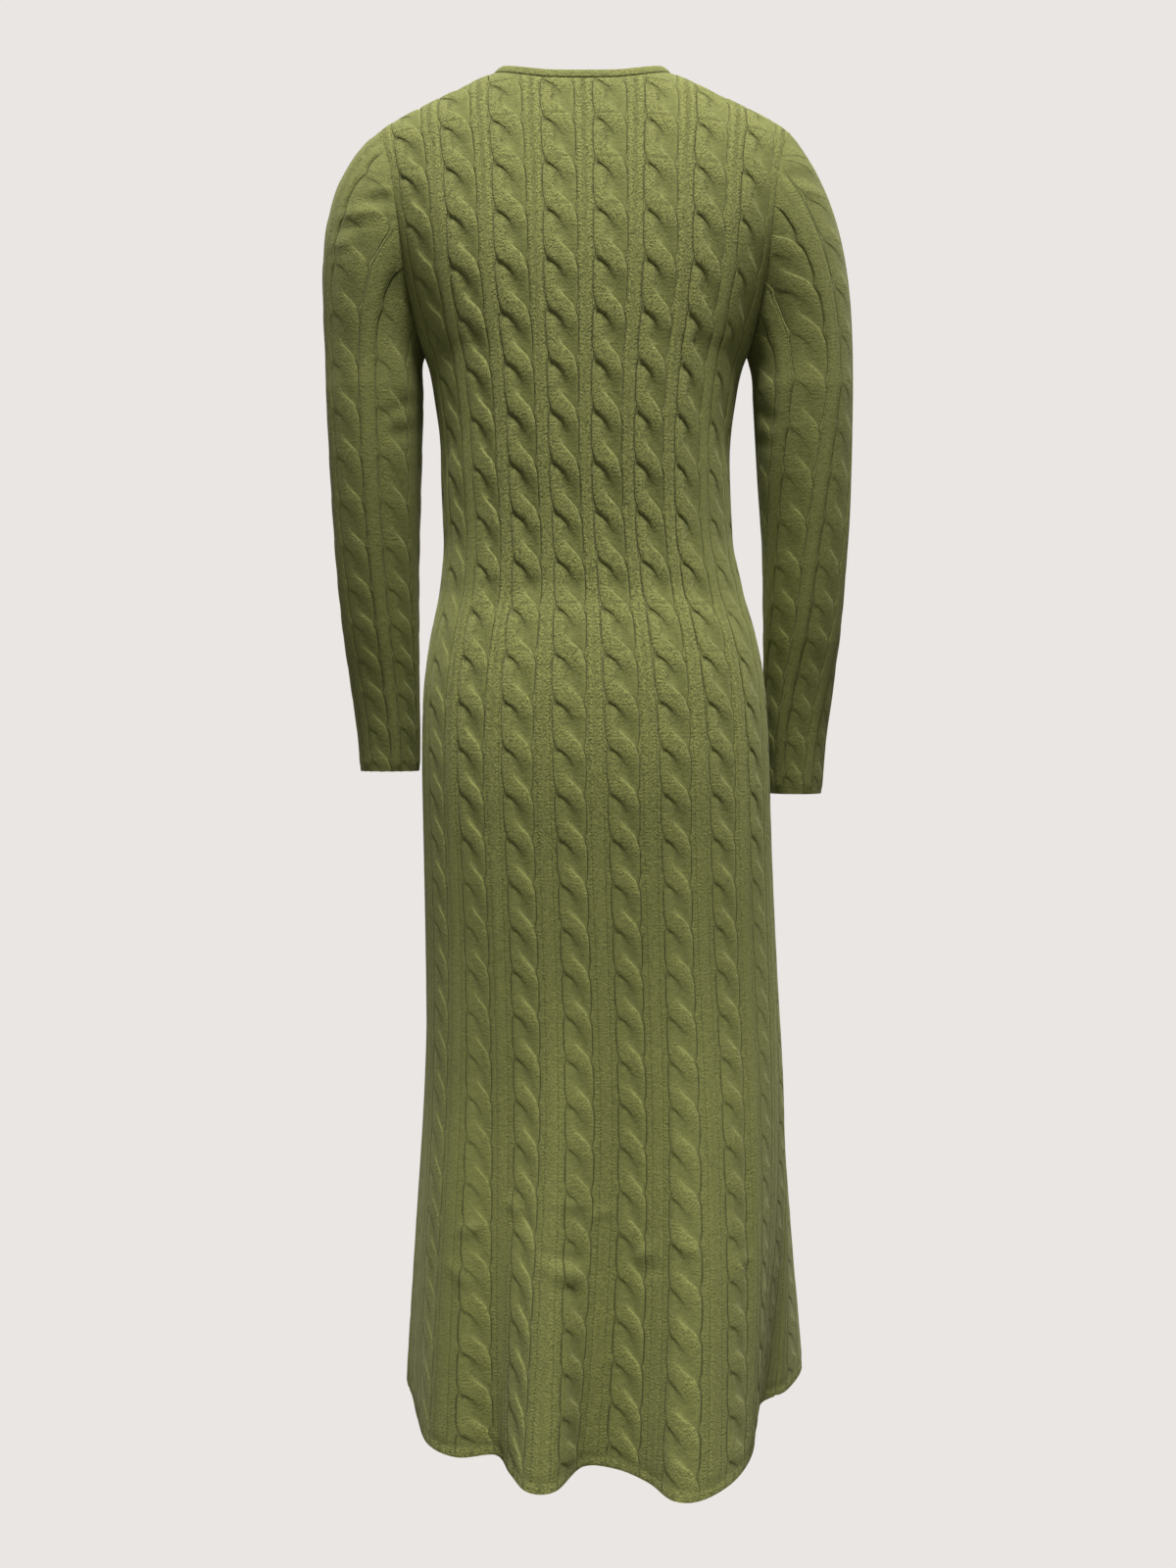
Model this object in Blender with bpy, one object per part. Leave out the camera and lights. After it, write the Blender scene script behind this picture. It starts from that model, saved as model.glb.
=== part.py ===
"""Long-sleeved maxi sweater dress in rope-cable knit, worn shape with no wearer.

Metres, +Z up. The front faces -Y, the back +Y and the wearer's left is +X.
The origin lies between the two side-neck points, on the line where the shoulders carry it.

Every knitted piece is a wall between an outer and an inner skin. A skin point is found from
two knitting coordinates: `across` counts cables sideways, growing to the right when the
piece is seen from outside, and `along` counts cable crossings downwards, from 0 at underarm
level. The cables are raised on the outer skin only.
"""

import math

import bmesh
import bpy
import numpy as np
from mathutils import Vector
from mathutils.geometry import delaunay_2d_cdt

# ---- sizes, in metres ----
WALL = 0.0026
SEAM_GAP = 0.0004
BAND_HEIGHT = 0.0095
BAND_WALL = 0.0032
UNDERARM = -0.262
HEM = -1.218
BICEPS = -0.300

# ---- cables: heights stand above the wall ----
CABLES_PER_PANEL = 10
CABLES_PER_SLEEVE = 6
CABLE_SHARE = 0.62
CROSSING_HEIGHT = 0.0034
STRAND_HEIGHT = 0.0027
DIP_HEIGHT = 0.0008
BAND_RISE = 0.0012
PLAIN_EDGE = 0.35
ARMHOLE_FADE = 0.030

# ---- superellipse powers ----
BODY_POWER = 2.3
SHOULDER_POWER = 2.8

BACK = 1
FRONT = -1
LEFT = 1
RIGHT = -1

SECTIONS = {
    "height":     (0.010, -0.060, -0.120, -0.200, -0.262, -0.276, -0.300, -0.360, -0.430, -0.480,
                   -0.530, -0.580, -0.640, -0.720, -0.830, -0.960, -1.080, -1.218),
    "half_width": (0.250, 0.238, 0.213, 0.174, 0.1480, 0.1415, 0.1365, 0.1300, 0.1300, 0.1365,
                   0.1480, 0.1545, 0.1565, 0.1570, 0.1585, 0.1622, 0.1668, 0.1700),
    "back":       (0.086, 0.091, 0.096, 0.101, 0.0992, 0.0985, 0.0968, 0.0905, 0.0850, 0.0910,
                   0.1040, 0.1140, 0.1200, 0.1175, 0.1140, 0.1152, 0.1200, 0.1290),
    "front":      (0.070, 0.080, 0.092, 0.108, 0.1180, 0.1195, 0.1200, 0.1080, 0.0960, 0.0980,
                   0.1020, 0.1050, 0.1060, 0.1070, 0.1100, 0.1160, 0.1240, 0.1320),
    "shift":      (0.006, 0.004, 0.003, 0.002, 0.0020, 0.0022, 0.0025, 0.0025, 0.0000, -0.0030,
                   -0.0050, -0.0060, -0.0070, -0.0090, -0.0125, -0.0165, -0.0180, -0.0185),
}

# Cloth between cable centres above the underarm, where the section no longer closes at a side seam.
CABLE_SPACING = {
    "height":  (0.010, -0.060, -0.120, -0.200, -0.262),
    "spacing": (0.0460, 0.0455, 0.0435, 0.0425, 0.0425),
}

CROSSING_PITCH = {
    "height": (-0.262, -0.430, -0.600, -0.800, -1.000, -1.218),
    "pitch":  (0.0430, 0.0420, 0.0390, 0.0370, 0.0355, 0.0330),
}

SHOULDER_LINE = {
    "across": (0.0, 1.0, 1.8, 3.0, 4.3, 5.2),
    "height": (0.002, -0.004, -0.0165, -0.0410, -0.0690, -0.092),
}

BACK_NECK = {
    "across": (0.0, 0.6, 1.1, 1.5, 1.8),
    "height": (-0.0385, -0.0370, -0.0325, -0.0255, -0.0165),
}

FRONT_NECK = {
    "across": (0.0, 0.6, 1.1, 1.5, 1.8),
    "height": (-0.0880, -0.0840, -0.0700, -0.0480, -0.0165),
}

# Armhole of one panel as a cubic curve: share of the drop from shoulder to underarm, and cables across.
ARMHOLE = {
    "across": (4.30, 3.72, 4.02, 5.00),
    "drop":   (0.00, 0.42, 1.00, 1.00),
}

# Plan of the hem, one row for each crest, valley or flank, and the height where that fold starts.
HEM_FOLDS = {
    "x":      (0.1700, 0.1590, 0.1500, 0.1360, 0.1100, 0.0770, 0.0630, 0.0480, 0.0270,
               0.0050, -0.0240, -0.0500, -0.0680, -0.0900, -0.1180, -0.1370, -0.1460,
               -0.1560, -0.1830, -0.2040, -0.1900, -0.1560, -0.1300, -0.0900, -0.0620,
               -0.0300, 0.0080, 0.0380, 0.0620, 0.0950, 0.1280, 0.1440, 0.1660),
    "y":      (-0.0380, 0.0060, 0.0450, 0.0900, 0.1120, 0.1080, 0.1390, 0.1670, 0.1660,
               0.1270, 0.1310, 0.1530, 0.1800, 0.1790, 0.1500, 0.1080, 0.0600,
               0.0160, -0.0100, -0.0600, -0.1000, -0.1160, -0.1460, -0.1600, -0.1380,
               -0.1580, -0.1700, -0.1540, -0.1400, -0.1600, -0.1460, -0.1160, -0.0880),
    "starts": (-0.760, -0.900, -0.800, -0.760, -0.780, -0.900, -0.900, -0.850, -0.820,
               -0.900, -0.850, -0.780, -0.700, -0.720, -0.760, -0.760, -0.760,
               -0.900, -0.800, -0.760, -0.760, -0.900, -0.780, -0.760, -0.920,
               -0.800, -0.720, -0.800, -0.920, -0.760, -0.760, -0.940, -0.820),
}
HEM_CENTRE_BACK = (0.0000, 0.1265)

SLEEVE_LEFT = {
    "height":     (-0.300, -0.366, -0.441, -0.513, -0.567, -0.622, -0.646),
    "x":          (0.1955, 0.1955, 0.1953, 0.1935, 0.1907, 0.1880, 0.1877),
    "y":          (0.0000, -0.0050, -0.0130, -0.0230, -0.0320, -0.0400, -0.0430),
    "half_width": (0.0428, 0.0405, 0.0374, 0.0340, 0.0305, 0.0272, 0.0262),
    "half_depth": (0.0480, 0.0455, 0.0415, 0.0375, 0.0335, 0.0305, 0.0295),
    "turn":       (0.0, 2.0, 6.0, 12.0, 16.0, 20.0, 21.0),
}

SLEEVE_RIGHT = {
    "height":     (-0.300, -0.366, -0.441, -0.513, -0.567, -0.622, -0.667),
    "x":          (0.1970, 0.1990, 0.2008, 0.1998, 0.1978, 0.1955, 0.1955),
    "y":          (0.0000, -0.0050, -0.0130, -0.0230, -0.0320, -0.0400, -0.0450),
    "half_width": (0.0433, 0.0410, 0.0376, 0.0345, 0.0308, 0.0267, 0.0240),
    "half_depth": (0.0480, 0.0455, 0.0415, 0.0375, 0.0335, 0.0300, 0.0280),
    "turn":       (0.0, -14.0, -29.0, -40.0, -54.0, -66.0, -72.0),
}

# How far round its armhole each sleeve is set, in cables, and where the first crossing comes.
SLEEVE_SET = {LEFT: 0.5, RIGHT: 0.0}
BODY_START = -0.37
SLEEVE_START = {LEFT: 0.42, RIGHT: -0.15}

SLEEVE_PITCH = {
    "height": (-0.300, -0.400, -0.455, -0.500, -0.600, -0.670),
    "pitch":  (0.0410, 0.0405, 0.0375, 0.0320, 0.0310, 0.0320),
}
CAP_PITCH = 0.0435
CAP_EASE = 1.08

# How far below level the sleeve leaves its seam, in degrees, from underarm to shoulder.
SLEEVE_FALL = {
    "share": (0.0, 0.12, 0.25, 0.5, 0.75, 1.0),
    "left":  (60.0, 60.0, 58.0, 50.0, 44.0, 38.0),
    "right": (60.0, 60.0, 60.0, 56.0, 54.0, 52.0),
}

# ---- how finely the skins are divided ----
ARMHOLE_STEPS = 18
SHOULDER_STEPS = 7
NECK_STEPS = 16
HEM_STEPS = 50
SIDE_STEP = 0.36
KEEP_CLEAR = 0.16
ARC_SAMPLES = 80
ACROSS_MM = 43.0
ALONG_MM = 40.0

COLOURS = {
    "back_panel":   (0.200, 0.208, 0.066),
    "front_panel":  (0.200, 0.208, 0.066),
    "sleeve_left":  (0.192, 0.200, 0.062),
    "sleeve_right": (0.192, 0.200, 0.062),
    "neckband":     (0.176, 0.184, 0.056),
}


def clear_scene():
    for item in list(bpy.data.objects):
        bpy.data.objects.remove(item, do_unlink=True)


def smooth(x, xs, ys):
    """Cubic through the rows (xs, ys), with slopes limited so that it does not overshoot."""
    xs = np.asarray(xs, float)
    ys = np.asarray(ys, float)
    if xs[0] > xs[-1]:
        xs = xs[::-1]
        ys = ys[::-1]
    x = np.clip(np.asarray(x, float), xs[0], xs[-1])
    gap = np.diff(xs)
    rate = np.diff(ys) / gap
    slope = np.empty_like(ys)
    slope[0] = rate[0]
    slope[-1] = rate[-1]
    before = rate[:-1]
    after = rate[1:]
    harmonic = 2 * before * after / np.where(before + after == 0, 1, before + after)
    slope[1:-1] = np.where(before * after > 0, harmonic, 0.0)
    cell = np.clip(np.searchsorted(xs, x, side="right") - 1, 0, len(gap) - 1)
    width = gap[cell]
    t = (x - xs[cell]) / width
    return (
        (2 * t**3 - 3 * t**2 + 1) * ys[cell]
        + (t**3 - 2 * t**2 + t) * width * slope[cell]
        + (3 * t**2 - 2 * t**3) * ys[cell + 1]
        + (t**3 - t**2) * width * slope[cell + 1]
    )


def quarter(power):
    """Unit superellipse quarter from its top (0, 1) to its side (1, 0)."""
    turn = (1 - np.cos(np.linspace(0, math.pi, ARC_SAMPLES))) / 2 * math.pi / 2
    return np.sin(turn) ** (2 / power), np.cos(turn) ** (2 / power)


def arc_lengths(reach, depth, power):
    """Points of the scaled quarters and their running lengths, one row for each reach and depth."""
    unit_x, unit_y = quarter(power)
    px = reach[:, None] * unit_x
    py = depth[:, None] * unit_y
    steps = np.hypot(np.diff(px, axis=1), np.diff(py, axis=1))
    run = np.concatenate([np.zeros((len(px), 1)), np.cumsum(steps, axis=1)], axis=1)
    return px, py, run


def row_interp(x, xs, ys):
    """Linear interpolation along each row, with one x for each row."""
    cell = np.clip((xs < x[:, None]).sum(axis=1) - 1, 0, xs.shape[1] - 2)
    rows = np.arange(len(x))
    x0 = xs[rows, cell]
    x1 = xs[rows, cell + 1]
    t = np.clip((x - x0) / np.maximum(x1 - x0, 1e-12), 0, 1)
    return ys[rows, cell] * (1 - t) + ys[rows, cell + 1] * t


def point_by_length(length, reach, depth, power):
    px, py, run = arc_lengths(reach, depth, power)
    length = np.clip(length, 0, run[:, -1])
    return row_interp(length, run, px), row_interp(length, run, py)


def running_table(pitch_table, start):
    """Heights and the number of crossings passed from `start` down to each of them."""
    heights = np.linspace(start, HEM - 0.02, 400)
    pitch = smooth(heights, pitch_table["height"], pitch_table["pitch"])
    count = np.concatenate([[0], np.cumsum(-np.diff(heights) / ((pitch[1:] + pitch[:-1]) / 2))])
    return heights, count


BODY_RUN = running_table(CROSSING_PITCH, UNDERARM)
SLEEVE_RUN = running_table(SLEEVE_PITCH, BICEPS)


def body_height(along):
    return np.interp(along, BODY_RUN[1], BODY_RUN[0])


def body_along(height):
    return np.interp(-height, -BODY_RUN[0], BODY_RUN[1])


HEM_ALONG = float(body_along(HEM))


def closed_curve(table, names, per_row=16):
    """Closed Catmull-Rom curve through the rows of a table, as dense columns."""
    rows = np.array([table[name] for name in names]).T
    before = np.roll(rows, 1, axis=0)
    after = np.roll(rows, -1, axis=0)
    beyond = np.roll(rows, -2, axis=0)
    out = []
    for t in np.arange(per_row) / per_row:
        out.append(
            0.5 * (2 * rows + (after - before) * t + (2 * before - 5 * rows + 4 * after - beyond) * t**2
                   + (3 * rows - before - 3 * after + beyond) * t**3)
        )
    return np.array(out).transpose(1, 0, 2).reshape(-1, len(names))


def hem_ring():
    """Hem plan by cable number: running cable count from centre back, x, y and fold start."""
    ring = closed_curve(HEM_FOLDS, ("x", "y", "starts"))
    first = np.argmin(np.hypot(ring[:, 0] - HEM_CENTRE_BACK[0], ring[:, 1] - HEM_CENTRE_BACK[1]))
    ring = np.roll(ring, -first, axis=0)
    ring = np.vstack([ring, ring[:1]])
    run = np.concatenate([[0], np.cumsum(np.hypot(*np.diff(ring[:, :2], axis=0).T))])
    return run / run[-1] * 2 * CABLES_PER_PANEL, ring


HEM_COUNT, HEM_RING = hem_ring()


def around_body(panel, across):
    """Cable number all round the body, 0 at centre back and growing towards the right side."""
    across = np.asarray(across, float)
    return across if panel == BACK else across + CABLES_PER_PANEL


def section(height, name):
    return smooth(height, SECTIONS["height"], SECTIONS[name])


def spacing_at(height):
    return smooth(height, CABLE_SPACING["height"], CABLE_SPACING["spacing"])


def shoulder_height(across):
    return smooth(np.abs(across), SHOULDER_LINE["across"], SHOULDER_LINE["height"])


def depth_name(panel):
    return "back" if panel == BACK else "front"


def body_point(panel, across, along):
    """Middle of the wall on a panel. Above underarm level each cable bends in over the shoulder."""
    across = np.asarray(across, float)
    along = np.asarray(along, float)
    side = np.sign(across)
    reach = np.abs(across)
    low_height = body_height(np.maximum(along, 0))

    rise = shoulder_height(across) - UNDERARM
    top_depth = section(np.full_like(reach, -0.12), depth_name(panel))
    up_length = np.maximum(-along, 0) * CROSSING_PITCH["pitch"][0]
    climbed, _ = point_by_length(up_length, rise, top_depth, SHOULDER_POWER)
    height = np.where(along < 0, UNDERARM + climbed, low_height)
    bend = np.clip(climbed / rise, 0, 1)
    bend = np.where(along < 0, (1 - bend**SHOULDER_POWER) ** (1 / SHOULDER_POWER), 1.0)

    half_width = section(height, "half_width")
    depth = section(height, depth_name(panel))
    _, _, run = arc_lengths(half_width, depth, BODY_POWER)
    spacing = np.where(along < 0, spacing_at(height), run[:, -1] * 2 / CABLES_PER_PANEL)
    at_underarm = arc_lengths(
        section(np.array([UNDERARM]), "half_width"),
        section(np.array([UNDERARM]), depth_name(panel)),
        BODY_POWER,
    )[2][0, -1] * 2 / CABLES_PER_PANEL
    fade = np.clip(-along / 1.5, 0, 1)
    fade = fade * fade * (3 - 2 * fade)
    spacing = np.where(along < 0, at_underarm * (1 - fade) + spacing * fade, spacing)
    px, py = point_by_length(reach * spacing, half_width, depth, BODY_POWER)
    x = section(height, "shift") - panel * side * px
    y = panel * py * bend

    number = np.mod(around_body(panel, across), 2 * CABLES_PER_PANEL)
    hem_x = np.interp(number, HEM_COUNT, HEM_RING[:, 0])
    hem_y = np.interp(number, HEM_COUNT, HEM_RING[:, 1])
    starts = np.interp(number, HEM_COUNT, HEM_RING[:, 2])
    share = np.clip((starts - height) / (starts - HEM), 0, 1.1)
    share = np.where(share < 1, share**1.6, 1 + 1.6 * (share - 1))
    x = x + share * (hem_x - x)
    y = y + share * (hem_y - y)
    return np.stack([x, y, height], axis=-1)


def normals_of(surface, across, along, step_across=0.06, step_along=0.06):
    """Outward normals from the slopes of a surface function."""
    d_across = surface(across + step_across, along) - surface(across - step_across, along)
    d_along = surface(across, along + step_along) - surface(across, along - step_along)
    normal = np.cross(d_along, d_across)
    return normal / np.linalg.norm(normal, axis=-1, keepdims=True)


def shoulder_along(panel, across):
    """Knitting coordinate of the shoulder seam."""
    across = np.asarray(across, float)
    rise = shoulder_height(across) - UNDERARM
    top_depth = section(np.full_like(across, -0.12), depth_name(panel))
    return -arc_lengths(rise, top_depth, SHOULDER_POWER)[2][:, -1] / CROSSING_PITCH["pitch"][0]


def along_at_height(panel, across, height):
    """Knitting coordinate of a height above the underarm."""
    rise = shoulder_height(across) - UNDERARM
    top_depth = section(np.full_like(across, -0.12), depth_name(panel))
    px, _, run = arc_lengths(rise, top_depth, SHOULDER_POWER)
    return -row_interp(height - UNDERARM, px, run) / CROSSING_PITCH["pitch"][0]


def armhole_curve(panel, share):
    """Knitting coordinates of the right armhole edge, share 0 at the shoulder and 1 at the underarm."""
    share = np.asarray(share, float)
    weights = np.array([(1 - share) ** 3, 3 * share * (1 - share) ** 2, 3 * share**2 * (1 - share), share**3])
    across = np.array(ARMHOLE["across"]) @ weights
    drop = np.array(ARMHOLE["drop"]) @ weights
    top = shoulder_along(panel, np.array([ARMHOLE["across"][0]]))[0]
    return across, top * (1 - drop)


def armhole_point(panel, side, share):
    """Point on the seam line of the armhole on the given side, LEFT being +X."""
    across, along = armhole_curve(panel, share)
    return body_point(panel, -across * side * panel, along)


def sleeve_table(side):
    return SLEEVE_LEFT if side == LEFT else SLEEVE_RIGHT


def sleeve_along(height):
    return np.interp(-height, -SLEEVE_RUN[0], SLEEVE_RUN[1])


def cuff_along(side):
    return float(sleeve_along(sleeve_table(side)["height"][-1]))


def armhole_place(side, around):
    """Place round the armhole, 0 at the underarm, of a place round the sleeve."""
    return around + SLEEVE_SET[side]


def tube_point(side, around, height):
    """Middle of the sleeve wall below the cap."""
    table = sleeve_table(side)
    heights = table["height"]
    start = math.pi if side == LEFT else 0.0
    turn = np.radians(smooth(height, heights, table["turn"]))
    angle = start + armhole_place(side, around) * 2 * math.pi / CABLES_PER_SLEEVE + turn
    half_width = smooth(height, heights, table["half_width"])
    half_depth = smooth(height, heights, table["half_depth"])
    x = side * smooth(height, heights, table["x"]) + half_width * np.cos(angle)
    y = smooth(height, heights, table["y"]) + half_depth * np.sin(angle)
    return np.stack([x, y, height], axis=-1)


def cap_share(side, around):
    """Share of the armhole at a place round the sleeve: 1 at the underarm and 0 at the shoulder."""
    half = CABLES_PER_SLEEVE / 2
    return np.abs(np.mod(armhole_place(side, around), CABLES_PER_SLEEVE) - half) / half


def cap_seam_point(side, around):
    half = CABLES_PER_SLEEVE / 2
    share = cap_share(side, around)
    back = armhole_point(BACK, side, share)
    front = armhole_point(FRONT, side, share)
    on_front = (np.mod(armhole_place(side, around), CABLES_PER_SLEEVE) < half) == (side == LEFT)
    return np.where(on_front[..., None], front, back)


def cap_length(side, around):
    level = np.full_like(around, BICEPS)
    reach = np.linalg.norm(cap_seam_point(side, around) - tube_point(side, around, level), axis=-1)
    return CAP_EASE * reach


def cap_along(side, around):
    """Knitting coordinate of the sleeve's top edge, below zero."""
    return -cap_length(side, around) / CAP_PITCH


def sleeve_point(side, around, along):
    """Middle of the sleeve wall. The cap runs in a cubic from the biceps ring to the armhole."""
    around = np.asarray(around, float)
    along = np.asarray(along, float)
    low = tube_point(side, around, np.interp(np.maximum(along, 0), SLEEVE_RUN[1], SLEEVE_RUN[0]))
    level = np.full_like(around, BICEPS)
    foot = tube_point(side, around, level)
    seam = cap_seam_point(side, around)
    length = cap_length(side, around)
    name = "left" if side == LEFT else "right"
    fall = np.radians(smooth(1 - cap_share(side, around), SLEEVE_FALL["share"], SLEEVE_FALL[name]))
    start = math.pi if side == LEFT else 0.0
    swell = 0.25 * np.sin(start + armhole_place(side, around) * 2 * math.pi / CABLES_PER_SLEEVE)
    leave = np.stack([side * np.cos(fall), swell, -np.sin(fall)], axis=-1)
    leave = leave / np.linalg.norm(leave, axis=-1, keepdims=True)
    t = np.clip(-along * CAP_PITCH / length, 0, 1.05)[..., None]
    up = length[..., None] * np.array([0.0, 0.0, 1.0])
    inward = -length[..., None] * leave
    cap = (
        (2 * t**3 - 3 * t**2 + 1) * foot
        + (t**3 - 2 * t**2 + t) * up
        + (3 * t**2 - 2 * t**3) * seam
        + (t**3 - t**2) * inward
    )
    return np.where((along < 0)[..., None], cap, low)


def unit(vectors):
    return vectors / np.maximum(np.linalg.norm(vectors, axis=-1, keepdims=True), 1e-12)


def armhole_seam(side):
    """Seam round a whole armhole: places from the underarm, shares, both lines, way to the sleeve."""
    steps = 2 * ARMHOLE_STEPS
    place_round = np.arange(steps) * CABLES_PER_SLEEVE / steps
    around = place_round - SLEEVE_SET[side]
    share = cap_share(side, around)
    middle = cap_seam_point(side, around)
    body_normal = np.zeros_like(middle)
    inward = np.zeros_like(middle)
    for panel in (BACK, FRONT):
        across, along = armhole_curve(panel, share)
        across = -across * side * panel
        normal = normals_of(lambda u, v: body_point(panel, u, v), across, along)
        inside = body_point(panel, across * 0.96, along + 0.12)
        here = (np.arange(steps) < ARMHOLE_STEPS) == ((panel == FRONT) == (side == LEFT))
        corner = (share < 1e-9) | (share > 1 - 1e-9)
        take = (here | corner)[:, None]
        body_normal += np.where(take, normal, 0)
        inward += np.where(take, inside - body_point(panel, across, along), 0)
    body_normal = unit(body_normal)
    sleeve_normal = normals_of(
        lambda u, v: sleeve_point(side, u, v), around, cap_along(side, around) + 0.10, 0.06, 0.05
    )
    out = unit(body_normal + sleeve_normal)
    run = np.roll(middle, -1, axis=0) - np.roll(middle, 1, axis=0)
    way = unit(np.cross(run, out))
    way = way * -np.sign((way * inward).sum(axis=1))[:, None]
    return place_round, share, middle + out * WALL / 2, middle - out * WALL / 2, way


def pattern(columns, last_along, first_along, start):
    """Cable points as (across, along, height), and the pairs that a ridge, dip or groove joins."""
    half = CABLE_SHARE / 2
    marks = (
        ("ridge_in", -0.46 * half, -0.38, STRAND_HEIGHT),
        ("ridge_mid", 0.0, 0.0, CROSSING_HEIGHT),
        ("ridge_out", 0.46 * half, 0.38, STRAND_HEIGHT),
        ("dip", 0.0, 0.5, DIP_HEIGHT),
        ("groove_left", -half, 0.12, 0.0),
        ("groove_right", half, 0.88, 0.0),
        ("band", 0.5, 0.5, BAND_RISE),
    )
    links = (
        ("ridge_in", "ridge_mid", 0),
        ("ridge_mid", "ridge_out", 0),
        ("groove_left", "dip", 0),
        ("dip", "groove_right", 0),
        ("groove_left", "groove_left", 1),
        ("groove_right", "groove_right", 1),
        ("band", "band", 1),
    )
    points = []
    index = {}
    for column in columns:
        for row in range(math.floor(first_along) - 1, math.ceil(last_along) + 1):
            for name, sideways, down, height in marks:
                along = row + down + start
                if along > last_along - PLAIN_EDGE:
                    continue
                index[column, row, name] = len(points)
                points.append((column + sideways, along, height))
    pairs = []
    for column, row, name in index:
        for first, second, step in links:
            other = (column, row + step, second)
            if name == first and other in index:
                pairs.append((index[column, row, name], index[other]))
    return np.array(points), pairs


def flat(across, along):
    return np.stack([np.asarray(across) * ACROSS_MM, -np.asarray(along) * ALONG_MM], axis=-1)


def clearance(points, loop):
    """Distance of flat points from a closed loop, below zero outside it."""
    start = loop
    run = np.roll(loop, -1, axis=0) - start
    offset = points[:, None, :] - start
    t = np.clip((offset * run).sum(axis=2) / (run * run).sum(axis=1), 0, 1)
    gap = np.linalg.norm(offset - t[..., None] * run, axis=2).min(axis=1)
    ends = start + run
    above = (start[:, 1] > points[:, 1:2]) != (ends[:, 1] > points[:, 1:2])
    height = np.where(run[:, 1] == 0, 1e-12, run[:, 1])
    cross = start[:, 0] + (points[:, 1:2] - start[:, 1]) * run[:, 0] / height
    inside = (above & (points[:, 0:1] < cross)).sum(axis=1) % 2 == 1
    return np.where(inside, gap, -gap)


def triangulate(loop, points, pairs, clear):
    """Triangles over a flat piece. It returns the kept points and the faces, loop points first."""
    keep = clearance(points, loop) > clear
    number = np.cumsum(keep) - 1 + len(loop)
    edges = [(i, (i + 1) % len(loop)) for i in range(len(loop))]
    joins = [(a, b) for a, b in pairs if keep[a] and keep[b]]
    if joins:
        ends = np.array(joins)
        middles = (points[ends[:, 0]] + points[ends[:, 1]]) / 2
        free = clearance(middles, loop) > clear / 2
        edges += [(int(number[a]), int(number[b])) for (a, b), good in zip(joins, free) if good]
    everything = np.vstack([loop, points[keep]])
    found = delaunay_2d_cdt([Vector(p) for p in everything], edges, [], 0, 1e-6, True)
    positions, _, faces, sources = found[:4]
    if len(positions) != len(everything):
        raise ValueError("the lines of a piece cross")
    back = [ids[0] for ids in sources]
    faces = np.array([[back[i] for i in face] for face in faces])
    inside = clearance(everything[faces].mean(axis=1), loop) > 0
    return np.flatnonzero(keep), faces[inside].tolist()


def plain_grid(low_across, high_across, low_along, high_along, rows):
    """Coarse points for an inner skin: each row of `rows` gives a limit along and the two steps."""
    points = []
    along = low_along
    shift = 0.0
    while along < high_along:
        step_across, step_along = next((a, b) for limit, a, b in rows if along < limit)
        count = int(round((high_across - low_across) / step_across))
        for i in range(count + 1):
            points.append((low_across + (i + shift) * step_across, along, 0.0))
        along += step_along
        shift = 0.5 - shift
    return np.array(points)


def make_object(name, vertices, faces):
    mesh = bpy.data.meshes.new(name)
    mesh.from_pydata([tuple(v) for v in vertices], [], [tuple(f) for f in faces])
    work = bmesh.new()
    work.from_mesh(mesh)
    loose = [v for v in work.verts if not v.link_faces]
    bmesh.ops.delete(work, geom=loose, context="VERTS")
    work.to_mesh(mesh)
    work.free()
    mesh.update()
    item = bpy.data.objects.new(name, mesh)
    bpy.context.scene.collection.objects.link(item)
    material = bpy.data.materials.new(name + "_knit")
    material.use_nodes = True
    shader = material.node_tree.nodes["Principled BSDF"]
    shader.inputs["Base Color"].default_value = (*COLOURS[name], 1.0)
    shader.inputs["Roughness"].default_value = 0.9
    shader.inputs["Metallic"].default_value = 0.0
    mesh.materials.append(material)
    return item


def panel_outline(panel):
    """Edge of a panel going left to right along the hem and back over the top, and what each point is."""
    top = HEM_ALONG
    side_count = math.ceil(top / SIDE_STEP)
    edge = []
    for i in range(HEM_STEPS + 1):
        edge.append((-5 + 10 * i / HEM_STEPS, top, "hem"))
    for i in range(1, side_count):
        edge.append((5.0, top * (1 - i / side_count), "side"))
    share = np.linspace(0, 1, ARMHOLE_STEPS + 1)
    hole_across, hole_along = armhole_curve(panel, share)
    for i in range(ARMHOLE_STEPS, -1, -1):
        edge.append((hole_across[i], hole_along[i], "armhole"))
    neck = BACK_NECK if panel == BACK else FRONT_NECK
    neck_across = neck["across"][-1]
    seam_across = np.linspace(hole_across[0], neck_across, SHOULDER_STEPS + 1)
    seam_along = shoulder_along(panel, seam_across)
    for i in range(1, SHOULDER_STEPS + 1):
        edge.append((seam_across[i], seam_along[i], "shoulder"))
    share = (1 - np.cos(np.linspace(0, math.pi, NECK_STEPS + 1))) / 2
    line_across = neck_across * (1 - 2 * share)
    line_height = smooth(np.abs(line_across), neck["across"], neck["height"])
    line_along = along_at_height(panel, line_across, line_height)
    for i in range(1, NECK_STEPS):
        edge.append((line_across[i], line_along[i], "neck"))
    for across, along, kind in reversed(edge[HEM_STEPS + 1 : -NECK_STEPS + 1]):
        edge.append((-across, along, kind))
    return edge


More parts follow.
